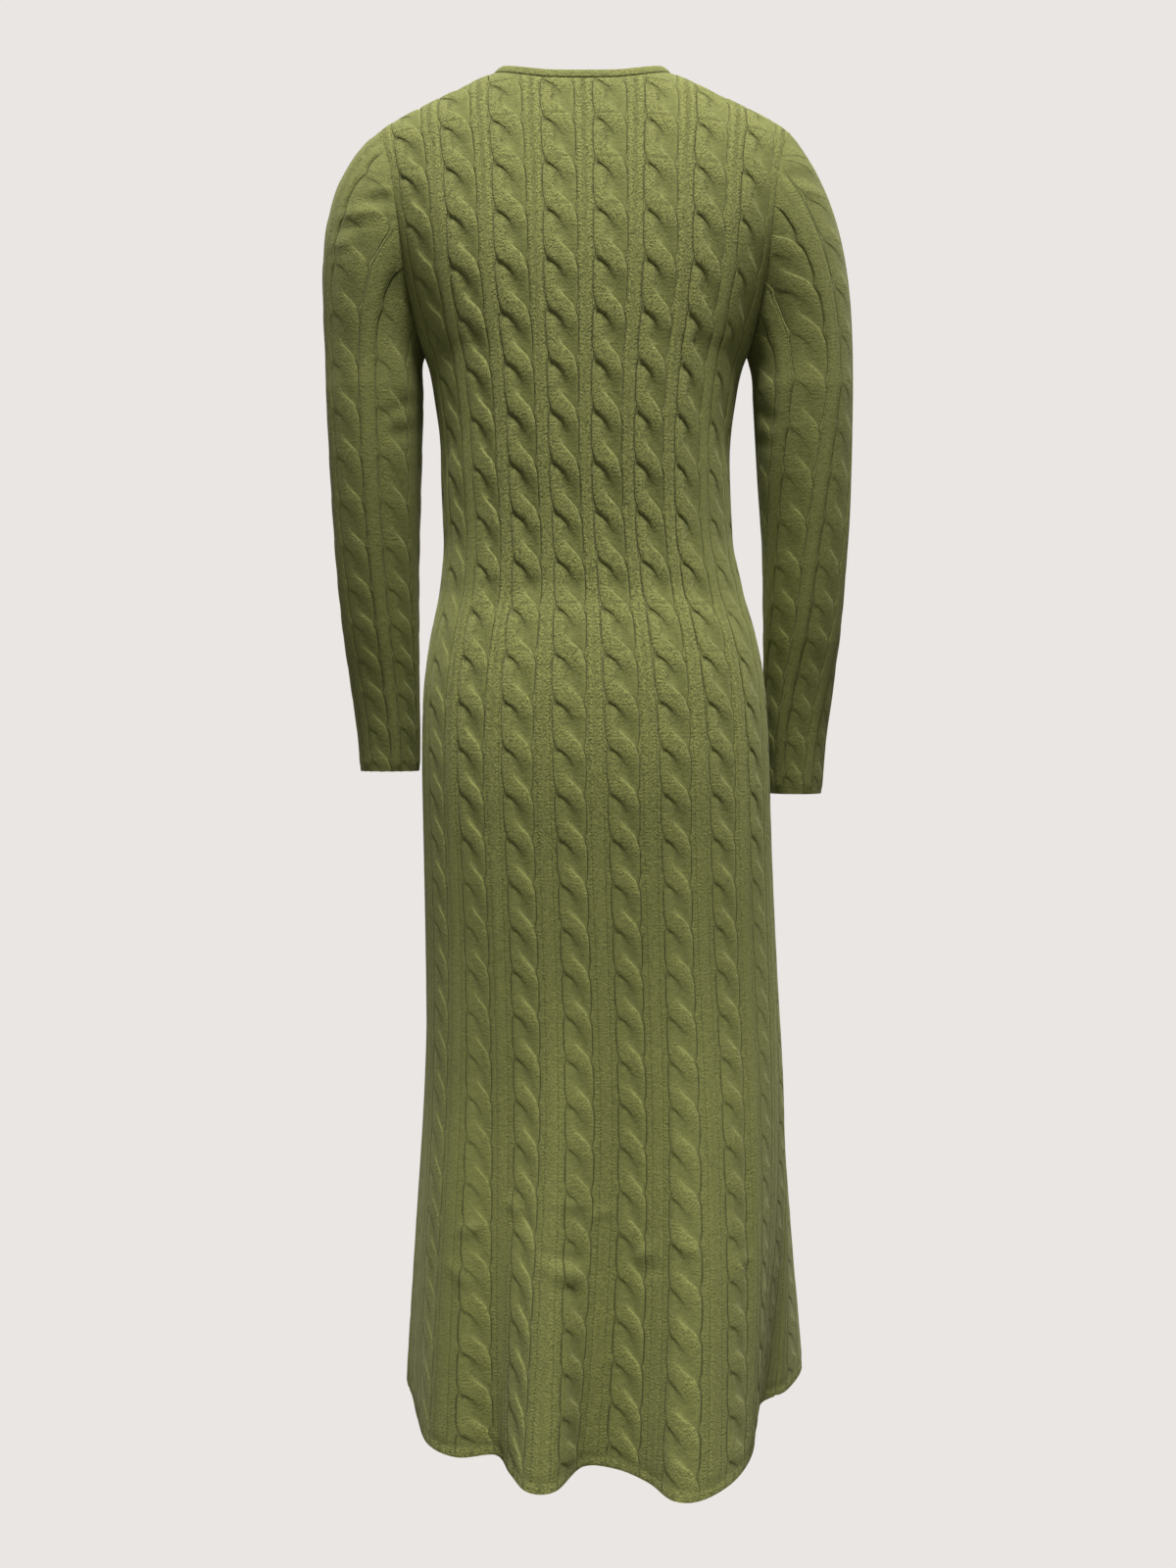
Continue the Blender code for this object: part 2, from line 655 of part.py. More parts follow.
def panel_edge_points(panel, edge):
    """Outer and inner points along the edge of a panel, drawn back from each seam."""
    across = np.array([row[0] for row in edge])
    along = np.array([row[1] for row in edge])
    kinds = [row[2] for row in edge]
    middle = body_point(panel, across, along)

    def surface(u, v):
        return body_point(panel, u, v)

    out = normals_of(surface, across, along)
    sides = np.sign(across)
    at_top = np.array([kind == "shoulder" for kind in kinds])
    peak = shoulder_along(panel, np.array([ARMHOLE["across"][0]]))[0]
    at_top |= (np.abs(np.abs(across) - ARMHOLE["across"][0]) < 1e-6) & (np.abs(along - peak) < 1e-6)
    other_along = np.where(at_top, shoulder_along(-panel, across), np.maximum(along, -0.5))
    other_side = normals_of(lambda u, v: body_point(-panel, u, v), -across, other_along)
    sideways = unit(surface(across + 0.03, along) - surface(across - 0.03, along)) * sides[:, None]
    pull = np.zeros_like(middle)
    on_side = (np.abs(np.abs(across) - 5) < 1e-6) & (along >= -1e-6)
    shared = on_side | at_top
    out = np.where(shared[:, None], unit(out + other_side), out)
    pull[on_side] += sideways[on_side]
    pull[at_top] += np.array([0.0, -panel, 0.0])
    outer = middle + out * WALL / 2
    inner = middle - out * WALL / 2
    for side in (LEFT, RIGHT):
        place_round, share, seam_outer, seam_inner, way = armhole_seam(side)
        hole_across, hole_along = armhole_curve(panel, share)
        on_panel = (place_round < CABLES_PER_SLEEVE / 2) == ((panel == FRONT) == (side == LEFT))
        on_panel |= np.mod(place_round, CABLES_PER_SLEEVE / 2) < 1e-6
        for i in np.flatnonzero(on_panel):
            target = -hole_across[i] * side * panel
            match = np.flatnonzero((np.abs(across - target) < 1e-6) & (np.abs(along - hole_along[i]) < 1e-6))
            outer[match] = seam_outer[i]
            inner[match] = seam_inner[i]
            pull[match] += way[i]
    upward = unit(surface(across, along - 0.03) - surface(across, along + 0.03))
    neck_limit = BACK_NECK["across"][-1] + 1e-6
    at_neck = (np.abs(across) <= neck_limit) & (along < 0)
    pull[at_neck] += upward[at_neck]
    outer = outer - pull * SEAM_GAP / 2
    inner = inner - pull * SEAM_GAP / 2
    return outer, inner


def build_panel(name, panel):
    edge = panel_outline(panel)
    loop = flat([row[0] for row in edge], [row[1] for row in edge])
    top = min(row[1] for row in edge)
    edge_outer, edge_inner = panel_edge_points(panel, edge)
    half = CABLES_PER_PANEL / 2
    columns = [i + 0.5 - half for i in range(-1, CABLES_PER_PANEL)]
    points, pairs = pattern(columns, HEM_ALONG, top, BODY_START)
    kept, outer_faces = triangulate(loop, flat(points[:, 0], points[:, 1]), pairs, KEEP_CLEAR * ACROSS_MM)
    raised = points[kept]
    spots = flat(raised[:, 0], raised[:, 1])
    hole = flat(*armhole_curve(panel, np.linspace(0, 1, ARMHOLE_STEPS + 1)))
    holes = np.vstack([hole, hole * np.array([-1.0, 1.0])])
    reach = np.linalg.norm(spots[:, None, :] - holes, axis=2).min(axis=1) / 1000
    raised[:, 2] *= np.clip((reach - 0.005) / ARMHOLE_FADE, 0, 1)
    outer = place(lambda u, v: body_point(panel, u, v), raised, WALL / 2)
    grid = plain_grid(-half, half, top, HEM_ALONG, ((13.0, 0.62, 1.3), (19.0, 0.45, 1.2), (99.0, 0.36, 1.2)))
    kept, inner_faces = triangulate(loop, flat(grid[:, 0], grid[:, 1]), [], 0.30 * ACROSS_MM)
    inner = place(lambda u, v: body_point(panel, u, v), grid[kept], -WALL / 2)
    count = len(edge)
    vertices = np.vstack([edge_outer, outer, edge_inner, inner])
    first_inner = len(edge_outer) + len(outer)
    faces = list(outer_faces)
    faces += [[first_inner + i for i in reversed(face)] for face in inner_faces]
    for i in range(count):
        after = (i + 1) % count
        faces.append([after, i, first_inner + i, first_inner + after])
    make_object(name, vertices, faces)


def place(surface, points, offset):
    """Points of a skin: on the surface, moved out by the wall's half and their own height."""
    across = points[:, 0]
    along = points[:, 1]
    normal = normals_of(surface, across, along)
    return surface(across, along) + normal * (offset + points[:, 2])[:, None]


def build_sleeve(name, side):
    """A sleeve cut flat along its underarm line and closed again into a tube."""
    whole = float(CABLES_PER_SLEEVE)
    low = cuff_along(side)
    steps = 2 * ARMHOLE_STEPS
    cap_around = np.linspace(whole, 0, steps + 1)
    cap_top = cap_along(side, cap_around)
    cut_count = math.ceil((low - cap_top[0]) / SIDE_STEP)
    cuff_steps = 4 * CABLES_PER_SLEEVE
    edge = [(whole * i / cuff_steps, low) for i in range(cuff_steps + 1)]
    cut_along = [low + (cap_top[0] - low) * i / cut_count for i in range(1, cut_count)]
    edge += [(whole, along) for along in cut_along]
    edge += list(zip(cap_around, cap_top))
    edge += [(0.0, along) for along in reversed(cut_along)]
    across = np.array([row[0] for row in edge])
    along = np.array([row[1] for row in edge])
    loop = flat(across, along)

    def surface(u, v):
        return sleeve_point(side, u, v)

    rise = np.zeros(len(edge))
    first_cap = cuff_steps + cut_count
    last_cap = first_cap + steps
    on_cut = np.zeros(len(edge), bool)
    on_cut[cuff_steps + 1 : first_cap] = True
    on_cut[last_cap + 1 :] = True
    reach = (along - cap_top[0]) * CAP_PITCH
    rise[on_cut & (along < low - PLAIN_EDGE)] = BAND_RISE
    rise *= np.clip((reach - 0.005) / ARMHOLE_FADE, 0, 1)
    rows = np.stack([across, along, rise], axis=1)
    edge_outer = place(surface, rows, WALL / 2)
    edge_inner = place(surface, rows * np.array([1, 1, 0]), -WALL / 2)
    _, _, seam_outer, seam_inner, way = armhole_seam(side)
    first_place = round(SLEEVE_SET[side] * steps / CABLES_PER_SLEEVE)
    for j in range(first_cap, last_cap + 1):
        i = (last_cap - j + first_place) % steps
        edge_outer[j] = seam_outer[i] + way[i] * SEAM_GAP / 2
        edge_inner[j] = seam_inner[i] + way[i] * SEAM_GAP / 2

    columns = [i + 0.5 for i in range(CABLES_PER_SLEEVE)]
    points, pairs = pattern(columns, low, cap_top.min(), SLEEVE_START[side])
    kept, outer_faces = triangulate(loop, flat(points[:, 0], points[:, 1]), pairs, KEEP_CLEAR * ACROSS_MM)
    raised = points[kept]
    reach = (raised[:, 1] - cap_along(side, raised[:, 0])) * CAP_PITCH
    raised[:, 2] *= np.clip((reach - 0.005) / ARMHOLE_FADE, 0, 1)
    outer = place(surface, raised, WALL / 2)
    grid = plain_grid(0.0, whole, cap_top.min(), low, ((99.0, 0.5, 1.0),))
    kept, inner_faces = triangulate(loop, flat(grid[:, 0], grid[:, 1]), [], 0.30 * ACROSS_MM)
    inner = place(surface, grid[kept], -WALL / 2)

    same = {}
    for i in range(last_cap, len(edge)):
        same[i] = first_cap - (i - last_cap)
    same[0] = cuff_steps
    vertices = np.vstack([edge_outer, outer, edge_inner, inner])
    first_inner = len(edge_outer) + len(outer)
    faces = [[same.get(i, i) for i in face] for face in outer_faces]
    faces += [[first_inner + same.get(i, i) for i in reversed(face)] for face in inner_faces]
    rim = list(range(0, cuff_steps)) + list(range(first_cap, last_cap))
    for i in rim:
        a = same.get(i, i)
        b = same.get(i + 1, i + 1)
        faces.append([b, a, first_inner + a, first_inner + b])
    make_object(name, vertices, faces)


def neck_line():
    """Neckline all round: seam point, the way up from the cloth and the outward normal."""
    rows = []
    for panel in (BACK, FRONT):
        neck = BACK_NECK if panel == BACK else FRONT_NECK
        limit = neck["across"][-1]
        share = (1 - np.cos(np.linspace(0, math.pi, NECK_STEPS + 1))) / 2
        across = -limit * (1 - 2 * share)
        height = smooth(np.abs(across), neck["across"], neck["height"])
        along = along_at_height(panel, across, height)
        for i in range(NECK_STEPS):
            rows.append((panel, across[i], along[i]))
    points = []
    outs = []
    for panel, across, along in rows:
        u = np.array([across])
        v = np.array([along])
        points.append(body_point(panel, u, v)[0])
        normal = normals_of(lambda a, b: body_point(panel, a, b), u, v)[0]
        outs.append(normal)
    points = np.array(points)
    outs = np.array(outs)
    for corner in (0, NECK_STEPS):
        panel, across, along = rows[corner]
        u = np.array([-across])
        v = shoulder_along(-panel, u)
        mirror = normals_of(lambda a, b: body_point(-panel, a, b), u, v)[0]
        outs[corner] = outs[corner] + mirror
    outs = unit(outs)
    run = unit(np.roll(points, -1, axis=0) - np.roll(points, 1, axis=0))
    ups = unit(np.cross(outs, run))
    ups = ups * np.sign(ups[:, 2] + 1e-9)[:, None]
    return points, ups, outs


def build_neckband(name):
    """A low band standing on the neckline, its section a rounded bar."""
    points, ups, outs = neck_line()
    half = BAND_WALL / 2
    profile = (
        (-half, 0.0),
        (half, 0.0),
        (half * 1.12, BAND_HEIGHT * 0.5),
        (half * 0.80, BAND_HEIGHT * 0.92),
        (0.0, BAND_HEIGHT),
        (-half * 0.80, BAND_HEIGHT * 0.92),
        (-half, BAND_HEIGHT * 0.5),
    )
    count = len(points)
    lean = unit(ups + np.array([0.0, 0.0, 0.55]))
    vertices = []
    for point, up, way, out in zip(points, ups, lean, outs):
        foot = point + up * SEAM_GAP * 0.75
        for sideways, rise in profile:
            vertices.append(foot + out * sideways + way * rise)
    size = len(profile)
    faces = []
    for i in range(count):
        after = (i + 1) % count
        for j in range(size):
            k = (j + 1) % size
            faces.append([i * size + j, after * size + j, after * size + k, i * size + k])
    make_object(name, np.array(vertices), faces)


clear_scene()
build_panel("back_panel", BACK)
build_panel("front_panel", FRONT)
build_sleeve("sleeve_left", LEFT)
build_sleeve("sleeve_right", RIGHT)
build_neckband("neckband")
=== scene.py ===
"""Looks of a long-sleeved maxi sweater dress in rope-cable knit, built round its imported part.

Metres, +Z up, in the part's own frame: the front faces -Y, the back +Y, the wearer's left is +X.
Each knitted piece is a wall between an outer and an inner skin. A skin point comes from two
knitting coordinates: `across` counts cables sideways, growing to the right when the piece is
seen from outside, and `along` counts cable crossings downwards, from 0 at underarm level.
The outer skin repeats one finely divided crossing, cut to the piece's outline.
"""

import math

import bpy
import numpy as np
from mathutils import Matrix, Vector
from mathutils.geometry import delaunay_2d_cdt


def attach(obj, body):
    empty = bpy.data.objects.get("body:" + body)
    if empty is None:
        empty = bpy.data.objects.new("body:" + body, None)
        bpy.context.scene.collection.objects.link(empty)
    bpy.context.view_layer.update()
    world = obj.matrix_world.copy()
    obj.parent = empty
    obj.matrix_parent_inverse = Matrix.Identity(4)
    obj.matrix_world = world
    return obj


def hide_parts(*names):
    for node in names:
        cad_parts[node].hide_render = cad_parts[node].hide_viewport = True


# ---- the garment's own sizes, in metres ----
WALL = 0.0026
SEAM_GAP = 0.00015
BAND_WALL = 0.0032
UNDERARM = -0.262
HEM = -1.218
BICEPS = -0.300

CABLES_PER_PANEL = 10
CABLES_PER_SLEEVE = 6
BODY_POWER = 2.3
SHOULDER_POWER = 2.8

BACK = 1
FRONT = -1
LEFT = 1
RIGHT = -1

SECTIONS = {
    "height":     (0.010, -0.060, -0.120, -0.200, -0.262, -0.276, -0.300, -0.360, -0.430, -0.480,
                   -0.530, -0.580, -0.640, -0.720, -0.830, -0.960, -1.080, -1.218),
    "half_width": (0.250, 0.238, 0.213, 0.174, 0.1480, 0.1415, 0.1365, 0.1300, 0.1300, 0.1365,
                   0.1480, 0.1545, 0.1565, 0.1570, 0.1585, 0.1622, 0.1668, 0.1700),
    "back":       (0.086, 0.091, 0.096, 0.101, 0.0992, 0.0985, 0.0974, 0.0936, 0.0893, 0.0910,
                   0.1052, 0.1152, 0.1186, 0.1150, 0.1120, 0.1136, 0.1195, 0.1290),
    "front":      (0.070, 0.080, 0.092, 0.108, 0.1180, 0.1195, 0.1200, 0.1080, 0.0960, 0.0980,
                   0.1020, 0.1050, 0.1060, 0.1070, 0.1100, 0.1160, 0.1240, 0.1320),
    "shift":      (0.006, 0.004, 0.003, 0.002, 0.0020, 0.0022, 0.0025, 0.0025, 0.0000, -0.0030,
                   -0.0050, -0.0060, -0.0070, -0.0090, -0.0125, -0.0165, -0.0180, -0.0185),
}
CABLE_SPACING = {
    "height":  (0.010, -0.060, -0.120, -0.200, -0.262),
    "spacing": (0.0460, 0.0455, 0.0435, 0.0425, 0.0425),
}
CROSSING_PITCH = {
    "height": (-0.262, -0.430, -0.600, -0.800, -1.000, -1.218),
    "pitch":  (0.0430, 0.0420, 0.0390, 0.0370, 0.0355, 0.0330),
}
SHOULDER_LINE = {
    "across": (0.0, 1.0, 1.8, 3.0, 4.3, 5.2),
    "height": (0.002, -0.004, -0.0165, -0.0410, -0.0690, -0.092),
}
BACK_NECK = {
    "across": (0.0, 0.6, 1.1, 1.5, 1.8),
    "height": (-0.0385, -0.0370, -0.0325, -0.0255, -0.0165),
}
FRONT_NECK = {
    "across": (0.0, 0.6, 1.1, 1.5, 1.8),
    "height": (-0.0880, -0.0840, -0.0700, -0.0480, -0.0165),
}
ARMHOLE = {
    "across": (4.30, 3.72, 4.02, 5.00),
    "drop":   (0.00, 0.42, 1.00, 1.00),
}
HEM_FOLDS = {
    "x":      (0.1700, 0.1590, 0.1500, 0.1360, 0.1100, 0.0770, 0.0630, 0.0480, 0.0270,
               0.0050, -0.0240, -0.0500, -0.0680, -0.0900, -0.1180, -0.1370, -0.1460,
               -0.1560, -0.1830, -0.2040, -0.1900, -0.1560, -0.1300, -0.0900, -0.0620,
               -0.0300, 0.0080, 0.0380, 0.0620, 0.0950, 0.1280, 0.1440, 0.1660),
    "y":      (-0.0380, 0.0060, 0.0450, 0.0900, 0.1120, 0.1080, 0.1390, 0.1670, 0.1660,
               0.1270, 0.1310, 0.1530, 0.1800, 0.1790, 0.1500, 0.1080, 0.0600,
               0.0160, -0.0100, -0.0600, -0.1000, -0.1160, -0.1460, -0.1600, -0.1380,
               -0.1580, -0.1700, -0.1540, -0.1400, -0.1600, -0.1460, -0.1160, -0.0880),
    "starts": (-0.760, -0.900, -0.800, -0.760, -0.780, -0.900, -0.900, -0.850, -0.820,
               -0.900, -0.850, -0.780, -0.700, -0.720, -0.760, -0.760, -0.760,
               -0.900, -0.800, -0.760, -0.760, -0.900, -0.780, -0.760, -0.920,
               -0.800, -0.720, -0.800, -0.920, -0.760, -0.760, -0.940, -0.820),
}
HEM_CENTRE_BACK = (0.0000, 0.1265)

SLEEVE_LEFT = {
    "height":     (-0.300, -0.366, -0.441, -0.513, -0.567, -0.622, -0.646),
    "x":          (0.1955, 0.1955, 0.1953, 0.1935, 0.1907, 0.1880, 0.1877),
    "y":          (0.0000, -0.0050, -0.0130, -0.0230, -0.0320, -0.0400, -0.0430),
    "half_width": (0.0428, 0.0405, 0.0374, 0.0340, 0.0305, 0.0272, 0.0262),
    "half_depth": (0.0480, 0.0455, 0.0415, 0.0375, 0.0335, 0.0305, 0.0295),
    "turn":       (0.0, 2.0, 6.0, 12.0, 16.0, 20.0, 21.0),
}
SLEEVE_RIGHT = {
    "height":     (-0.300, -0.366, -0.441, -0.513, -0.567, -0.622, -0.667),
    "x":          (0.1970, 0.1990, 0.2008, 0.1998, 0.1978, 0.1955, 0.1955),
    "y":          (0.0000, -0.0050, -0.0130, -0.0230, -0.0320, -0.0400, -0.0450),
    "half_width": (0.0433, 0.0410, 0.0376, 0.0345, 0.0308, 0.0267, 0.0240),
    "half_depth": (0.0480, 0.0455, 0.0415, 0.0375, 0.0335, 0.0300, 0.0280),
    "turn":       (0.0, -14.0, -29.0, -40.0, -54.0, -66.0, -72.0),
}
# How far round its armhole each sleeve is set, in cables, and where the first crossing comes.
SLEEVE_SET = {LEFT: 0.5, RIGHT: 0.0}
BODY_START = -0.37
SLEEVE_START = {LEFT: 0.42, RIGHT: -0.15}
SLEEVE_PITCH = {
    "height": (-0.300, -0.400, -0.455, -0.500, -0.600, -0.670),
    "pitch":  (0.0410, 0.0405, 0.0375, 0.0320, 0.0310, 0.0320),
}
CAP_PITCH = 0.0435
CAP_EASE = 1.08
SLEEVE_FALL = {
    "share": (0.0, 0.12, 0.25, 0.5, 0.75, 1.0),
    "left":  (60.0, 60.0, 58.0, 50.0, 44.0, 38.0),
    "right": (60.0, 60.0, 60.0, 56.0, 54.0, 52.0),
}
ARC_SAMPLES = 64
RUN_SAMPLES = 400
CAP_SAMPLES = 721
# The depth over the shoulder is taken at this height.
BEND_LEVEL = -0.12
# Crossings above the underarm in which the spacing of the cables changes to the chest's.
SPACING_RUN = 1.5
# How a hem fold grows from its start to the hem, and how far it may go on below the hem.
FOLD_POWER = 1.6
FOLD_LIMIT = 1.1
# Steps in cables and crossings for the slopes of a surface.
SLOPE_STEP = 0.06
CAP_SLOPE_STEP = 0.05
CAP_SWELL = 0.25
CAP_LIMIT = 1.05
# A place just inside an armhole, and steps for the slopes of its seam.
INSIDE_HOLE = 0.96
BELOW_HOLE = 0.12
BELOW_CAP = 0.10
SEAM_STEP = 0.08
SEAM_CORNER = 1e-3

# ---- one rope crossing: `down` counts crossings from its middle, sides in cable half widths ----
STRAND_RIGHT = {
    "down": (-0.90, -0.75, -0.55, -0.38, -0.27, -0.15, -0.02, 0.08, 0.18, 0.30, 0.47, 0.80, 1.05),
    "side": (-0.80, -0.40, -0.22, -0.20, -0.14, 0.16, 0.53, 0.76, 0.92, 0.98, 1.00, 0.99, 0.90),
}
STRAND_LEFT = {
    "down": (-0.90, 0.00, 0.05, 0.10, 0.18, 0.30, 0.47, 0.75, 1.02),
    "side": (-1.00, -1.00, -0.98, -0.80, -0.45, -0.08, 0.20, 0.52, 0.86),
}
STRAND_HEIGHT = {
    "down":   (-0.90, -0.60, -0.30, 0.00, 0.20, 0.40, 0.60, 0.80, 1.00),
    "height": (0.25, 0.75, 0.95, 1.00, 0.95, 0.76, 0.52, 0.28, 0.04),
}
# How far the wall of the strand stands up at its left edge and at its right edge.
LEFT_WALL = {
    "down":  (-0.12, 0.03, 0.14, 0.30, 0.46, 0.66),
    "stand": (0.00, 0.22, 0.30, 0.29, 0.20, 0.00),
}
RIGHT_WALL = {
    "down":  (-0.40, -0.20, 0.00, 0.14, 1.0),
    "stand": (0.00, 0.30, 0.34, 0.20, 0.10),
}
FULL_WALL = 0.34
# The painted shadow in the fold beside the left and the right wall: how wide, how dark and how far along it
# goes.
FOLD = {
    "wide":  (0.05, 0.04),
    "painted_shade":  (0.8, 0.45),
    "reach": (0.7, 0.2),
}
FOLD_CLEAR = 0.02
FOLD_AWAY = 0.05
# How bright the painted highlight on the thin rim inside the strand's right edge is.
RIM = {
    "down":   (-0.34, -0.10, 0.15, 0.60, 0.88, 1.0),
    "bright": (0.00, 0.70, 1.00, 0.80, 0.50, 0.00),
}
FLANK = {
    "down":  (-1.0, 0.10, 0.42, 1.0),
    "power": (0.26, 0.26, 0.55, 0.55),
}
PEAK = {
    "down": (-1.0, -0.45, -0.12, 0.12, 0.45, 1.0),
    "side": (-0.40, -0.30, 0.10, 0.20, 0.60, 0.70),
}
# The strands that can reach into a crossing, by their number, and where each starts and ends.
STRANDS_NEAR = range(-1, 3)
STRAND_HEAD = -0.90
STRAND_END = 1.02
NARROWEST_STRAND = 0.04
JUST_OVER_ONE = 1.0001
# Where a strand's tail and head turn darker with painted shade, and how wide the painted highlights on the
# rim and on the ridge are.
TAIL_FROM = 0.20
TAIL_RUN = 0.40
HEAD_FROM = -0.62
HEAD_RUN = 0.42
RIM_WIDTH = 0.14
RIDGE_WIDTH = 0.75

# ---- the cell: one crossing of a cable and half of the band on each side, 1 wide and 1 long ----
CABLE_SHARE = 0.62
RIB_SHARE = 0.22
# Guide lines by a strand's left and right edge: where they run, and how far beside it and along it.
EDGE_GUIDES = {
    "from":   (0.10, -0.32),
    "to":     (0.50, 0.10),
    "points": (9, 10),
    "beside": ((0.006, -0.050, 0.170), (-0.006, 0.050, -0.140)),
    "shift":  ((0.0, 0.006, -0.012), (0.0, -0.004, 0.006)),
}
# Guide lines down the band: inside and outside the cable's edge, and either side of the rib.
BAND_GUIDE_POINTS = 12
EDGE_GUIDE_IN = 0.018
EDGE_GUIDE_OUT = 0.016
RIB_GUIDE = 0.010
# The other points: their spacing, how far they stay from the guides in spacings, and their nudges.
POINT_SPACING_MM = 3.15
GUIDE_CLEAR = 0.56
EVEN_TRIANGLE = 0.866
NUDGE_ACROSS = 0.0011
NUDGE_ALONG = 0.0009
# A flat piece is laid out with this many millimetres for a cable and for a crossing.
ACROSS_MM = 43.0
ALONG_MM = 40.0
CELL_WIDTH_MM = ACROSS_MM * 1.05
# The band's height and ribs in metres, then its lines and the painted shade beside it and along the cable's
# edge, as shares.
BAND_RISE = 0.0020
RIB_DEPTH = 0.0008
BAND_FULL_RISE = 0.0030
BAND_LOWEST = 0.50
BAND_EDGE = 0.22
RIB_LINE = 0.006
RIB_SHADE = 0.55
BAND_SHADE = 0.30
BAND_SHADE_WIDTH = 0.16
GROOVE_SHADE_WIDTH = 0.03
# Where two strands meet the cable's edge, and how the outline's painted shade fades and the outline sways
# there.
CORNER_DOWN = 0.08
CORNER_STAGGER = 0.04
CORNER_GAP = 0.5
CORNER_RUN = 0.10
GROOVE_SWAY = 0.13
SWAY_RUN = 0.14
SWAY_WIDTH = 0.075
NARROWEST_STRIP = 0.016
# How the relief, the painted shade and highlights and the speckle change where the crossings lie flat or in
# leaf shapes.
FLAT_RISE = 0.32
FLAT_PLUMP = 2.5
FLAT_TAIL = 0.5
FLAT_NAP = 0.25
FLAT_LIGHT = 0.4
ZONE_SHIFT = 0.45
ZONE_EDGE = 0.8
# Painted shade on the strands' tails and heads, and how much of the nap it smooths away there.
TAIL_SHADE = 0.12
PAINTED_SHADE_SMOOTHING = 0.85
# Painted highlights: how strong the rim's is, how much the ridge adds, how much nap with its painted light
# the ridge gains, and how much the rim fades in leaf shapes.
RIM_PAINTED_HIGHLIGHT = 0.56
RIDGE_PAINTED_HIGHLIGHT = 0.55
RIDGE_NAP_PAINTED_LIGHT = 0.35
LEAF_RIM = 0.8
# The stitches are numbered across the strands and the bands, and down from row to row.
STITCHES_PER_STRAND = 4
STITCHES_PER_BAND = 4
BAND_FIRST_COLUMN = 40
COLUMNS_PER_CELL = 80
ROWS_PER_CROSSING = 13

# Share of the cable and of the band's middle rib in each repeat, how high the relief stands in metres,
# how flat-topped the strands are, how dark the painted shadow under a strand's edge is and how bright its
# painted rim highlight is, how many cables either side of the middle stand up fully, how strong the brushed
# speckle and the painted light that comes with the nap are, and how much of each strand lies flat in a leaf
# shape with painted shade, beside its ridge with its painted highlight.
BODY_KNIT = {
    "along": (-7.0, -5.6, -4.2, -1.0, 1.5, 4.0, 7.0, 10.0, 13.0, 20.0, 26.0),
    "cable": (0.62, 0.65, 0.66, 0.70, 0.71, 0.72, 0.68, 0.60, 0.55, 0.53, 0.52),
    "rib":   (0.34, 0.33, 0.32, 0.28, 0.27, 0.26, 0.27, 0.25, 0.23, 0.22, 0.22),
    "rise":  (0.0004, 0.0009, 0.0018, 0.0022, 0.0023, 0.0023, 0.0020, 0.0013, 0.0010, 0.0010, 0.0010),
    "plump": (1.2, 1.1, 1.0, 1.0, 1.0, 1.0, 1.0, 0.9, 0.8, 0.8, 0.8),
    "edge":  (0.5, 0.6, 0.7, 0.7, 0.7, 0.7, 0.7, 0.6, 0.5, 0.5, 0.5),
    "zone":  (4.6, 4.4, 3.9, 2.4, 2.1, 2.0, 2.8, 2.9, 2.0, 2.3, 3.2),
    "nap":   (0.8, 0.9, 1.0, 1.0, 1.0, 1.0, 0.95, 0.60, 0.32, 0.32, 0.40),
    "leaf":  (0.3, 0.0, 0.0, 0.0, 0.0, 0.0, 0.1, 0.7, 1.0, 1.0, 1.0),
}
SLEEVE_KNIT = {
    "along": (-6.0, 0.0, 9.0),
    "cable": (0.66, 0.68, 0.68),
    "rib":   (0.30, 0.28, 0.28),
    "rise":  (0.0007, 0.00042, 0.00042),
    "plump": (1.0, 0.8, 0.8),
    "edge":  (0.35, 0.30, 0.30),
    "zone":  (20.0, 20.0, 20.0),
    "nap":   (0.35, 0.20, 0.20),
    "leaf":  (0.7, 0.7, 0.7),
}


def smooth(x, xs, ys):
    """Cubic through the rows (xs, ys), with slopes limited so that it does not overshoot."""
    xs = np.asarray(xs, float)
    ys = np.asarray(ys, float)
    if xs[0] > xs[-1]:
        xs = xs[::-1]
        ys = ys[::-1]
    x = np.clip(np.asarray(x, float), xs[0], xs[-1])
    gap = np.diff(xs)
    rate = np.diff(ys) / gap
    slope = np.empty_like(ys)
    slope[0] = rate[0]
    slope[-1] = rate[-1]
    before = rate[:-1]
    after = rate[1:]
    harmonic = 2 * before * after / np.where(before + after == 0, 1, before + after)
    slope[1:-1] = np.where(before * after > 0, harmonic, 0.0)
    cell = np.clip(np.searchsorted(xs, x, side="right") - 1, 0, len(gap) - 1)
    width = gap[cell]
    t = (x - xs[cell]) / width
    return (
        (2 * t**3 - 3 * t**2 + 1) * ys[cell]
        + (t**3 - 2 * t**2 + t) * width * slope[cell]
        + (3 * t**2 - 2 * t**3) * ys[cell + 1]
        + (t**3 - t**2) * width * slope[cell + 1]
    )


def column_at(table, name, at):
    """A column of a table at the given places in the table's first column."""
    return smooth(at, table[next(iter(table))], table[name])


def ease(x):
    x = np.clip(x, 0, 1)
    return x * x * (3 - 2 * x)


def quarter(power):
    """Unit superellipse quarter from its top (0, 1) to its side (1, 0)."""
    turn = (1 - np.cos(np.linspace(0, math.pi, ARC_SAMPLES))) / 2 * math.pi / 2
    return np.sin(turn) ** (2 / power), np.cos(turn) ** (2 / power)


def arc_lengths(reach, depth, power):
    unit_x, unit_y = quarter(power)
    px = reach[:, None] * unit_x
    py = depth[:, None] * unit_y
    steps = np.hypot(np.diff(px, axis=1), np.diff(py, axis=1))
    run = np.concatenate([np.zeros((len(px), 1)), np.cumsum(steps, axis=1)], axis=1)
    return px, py, run


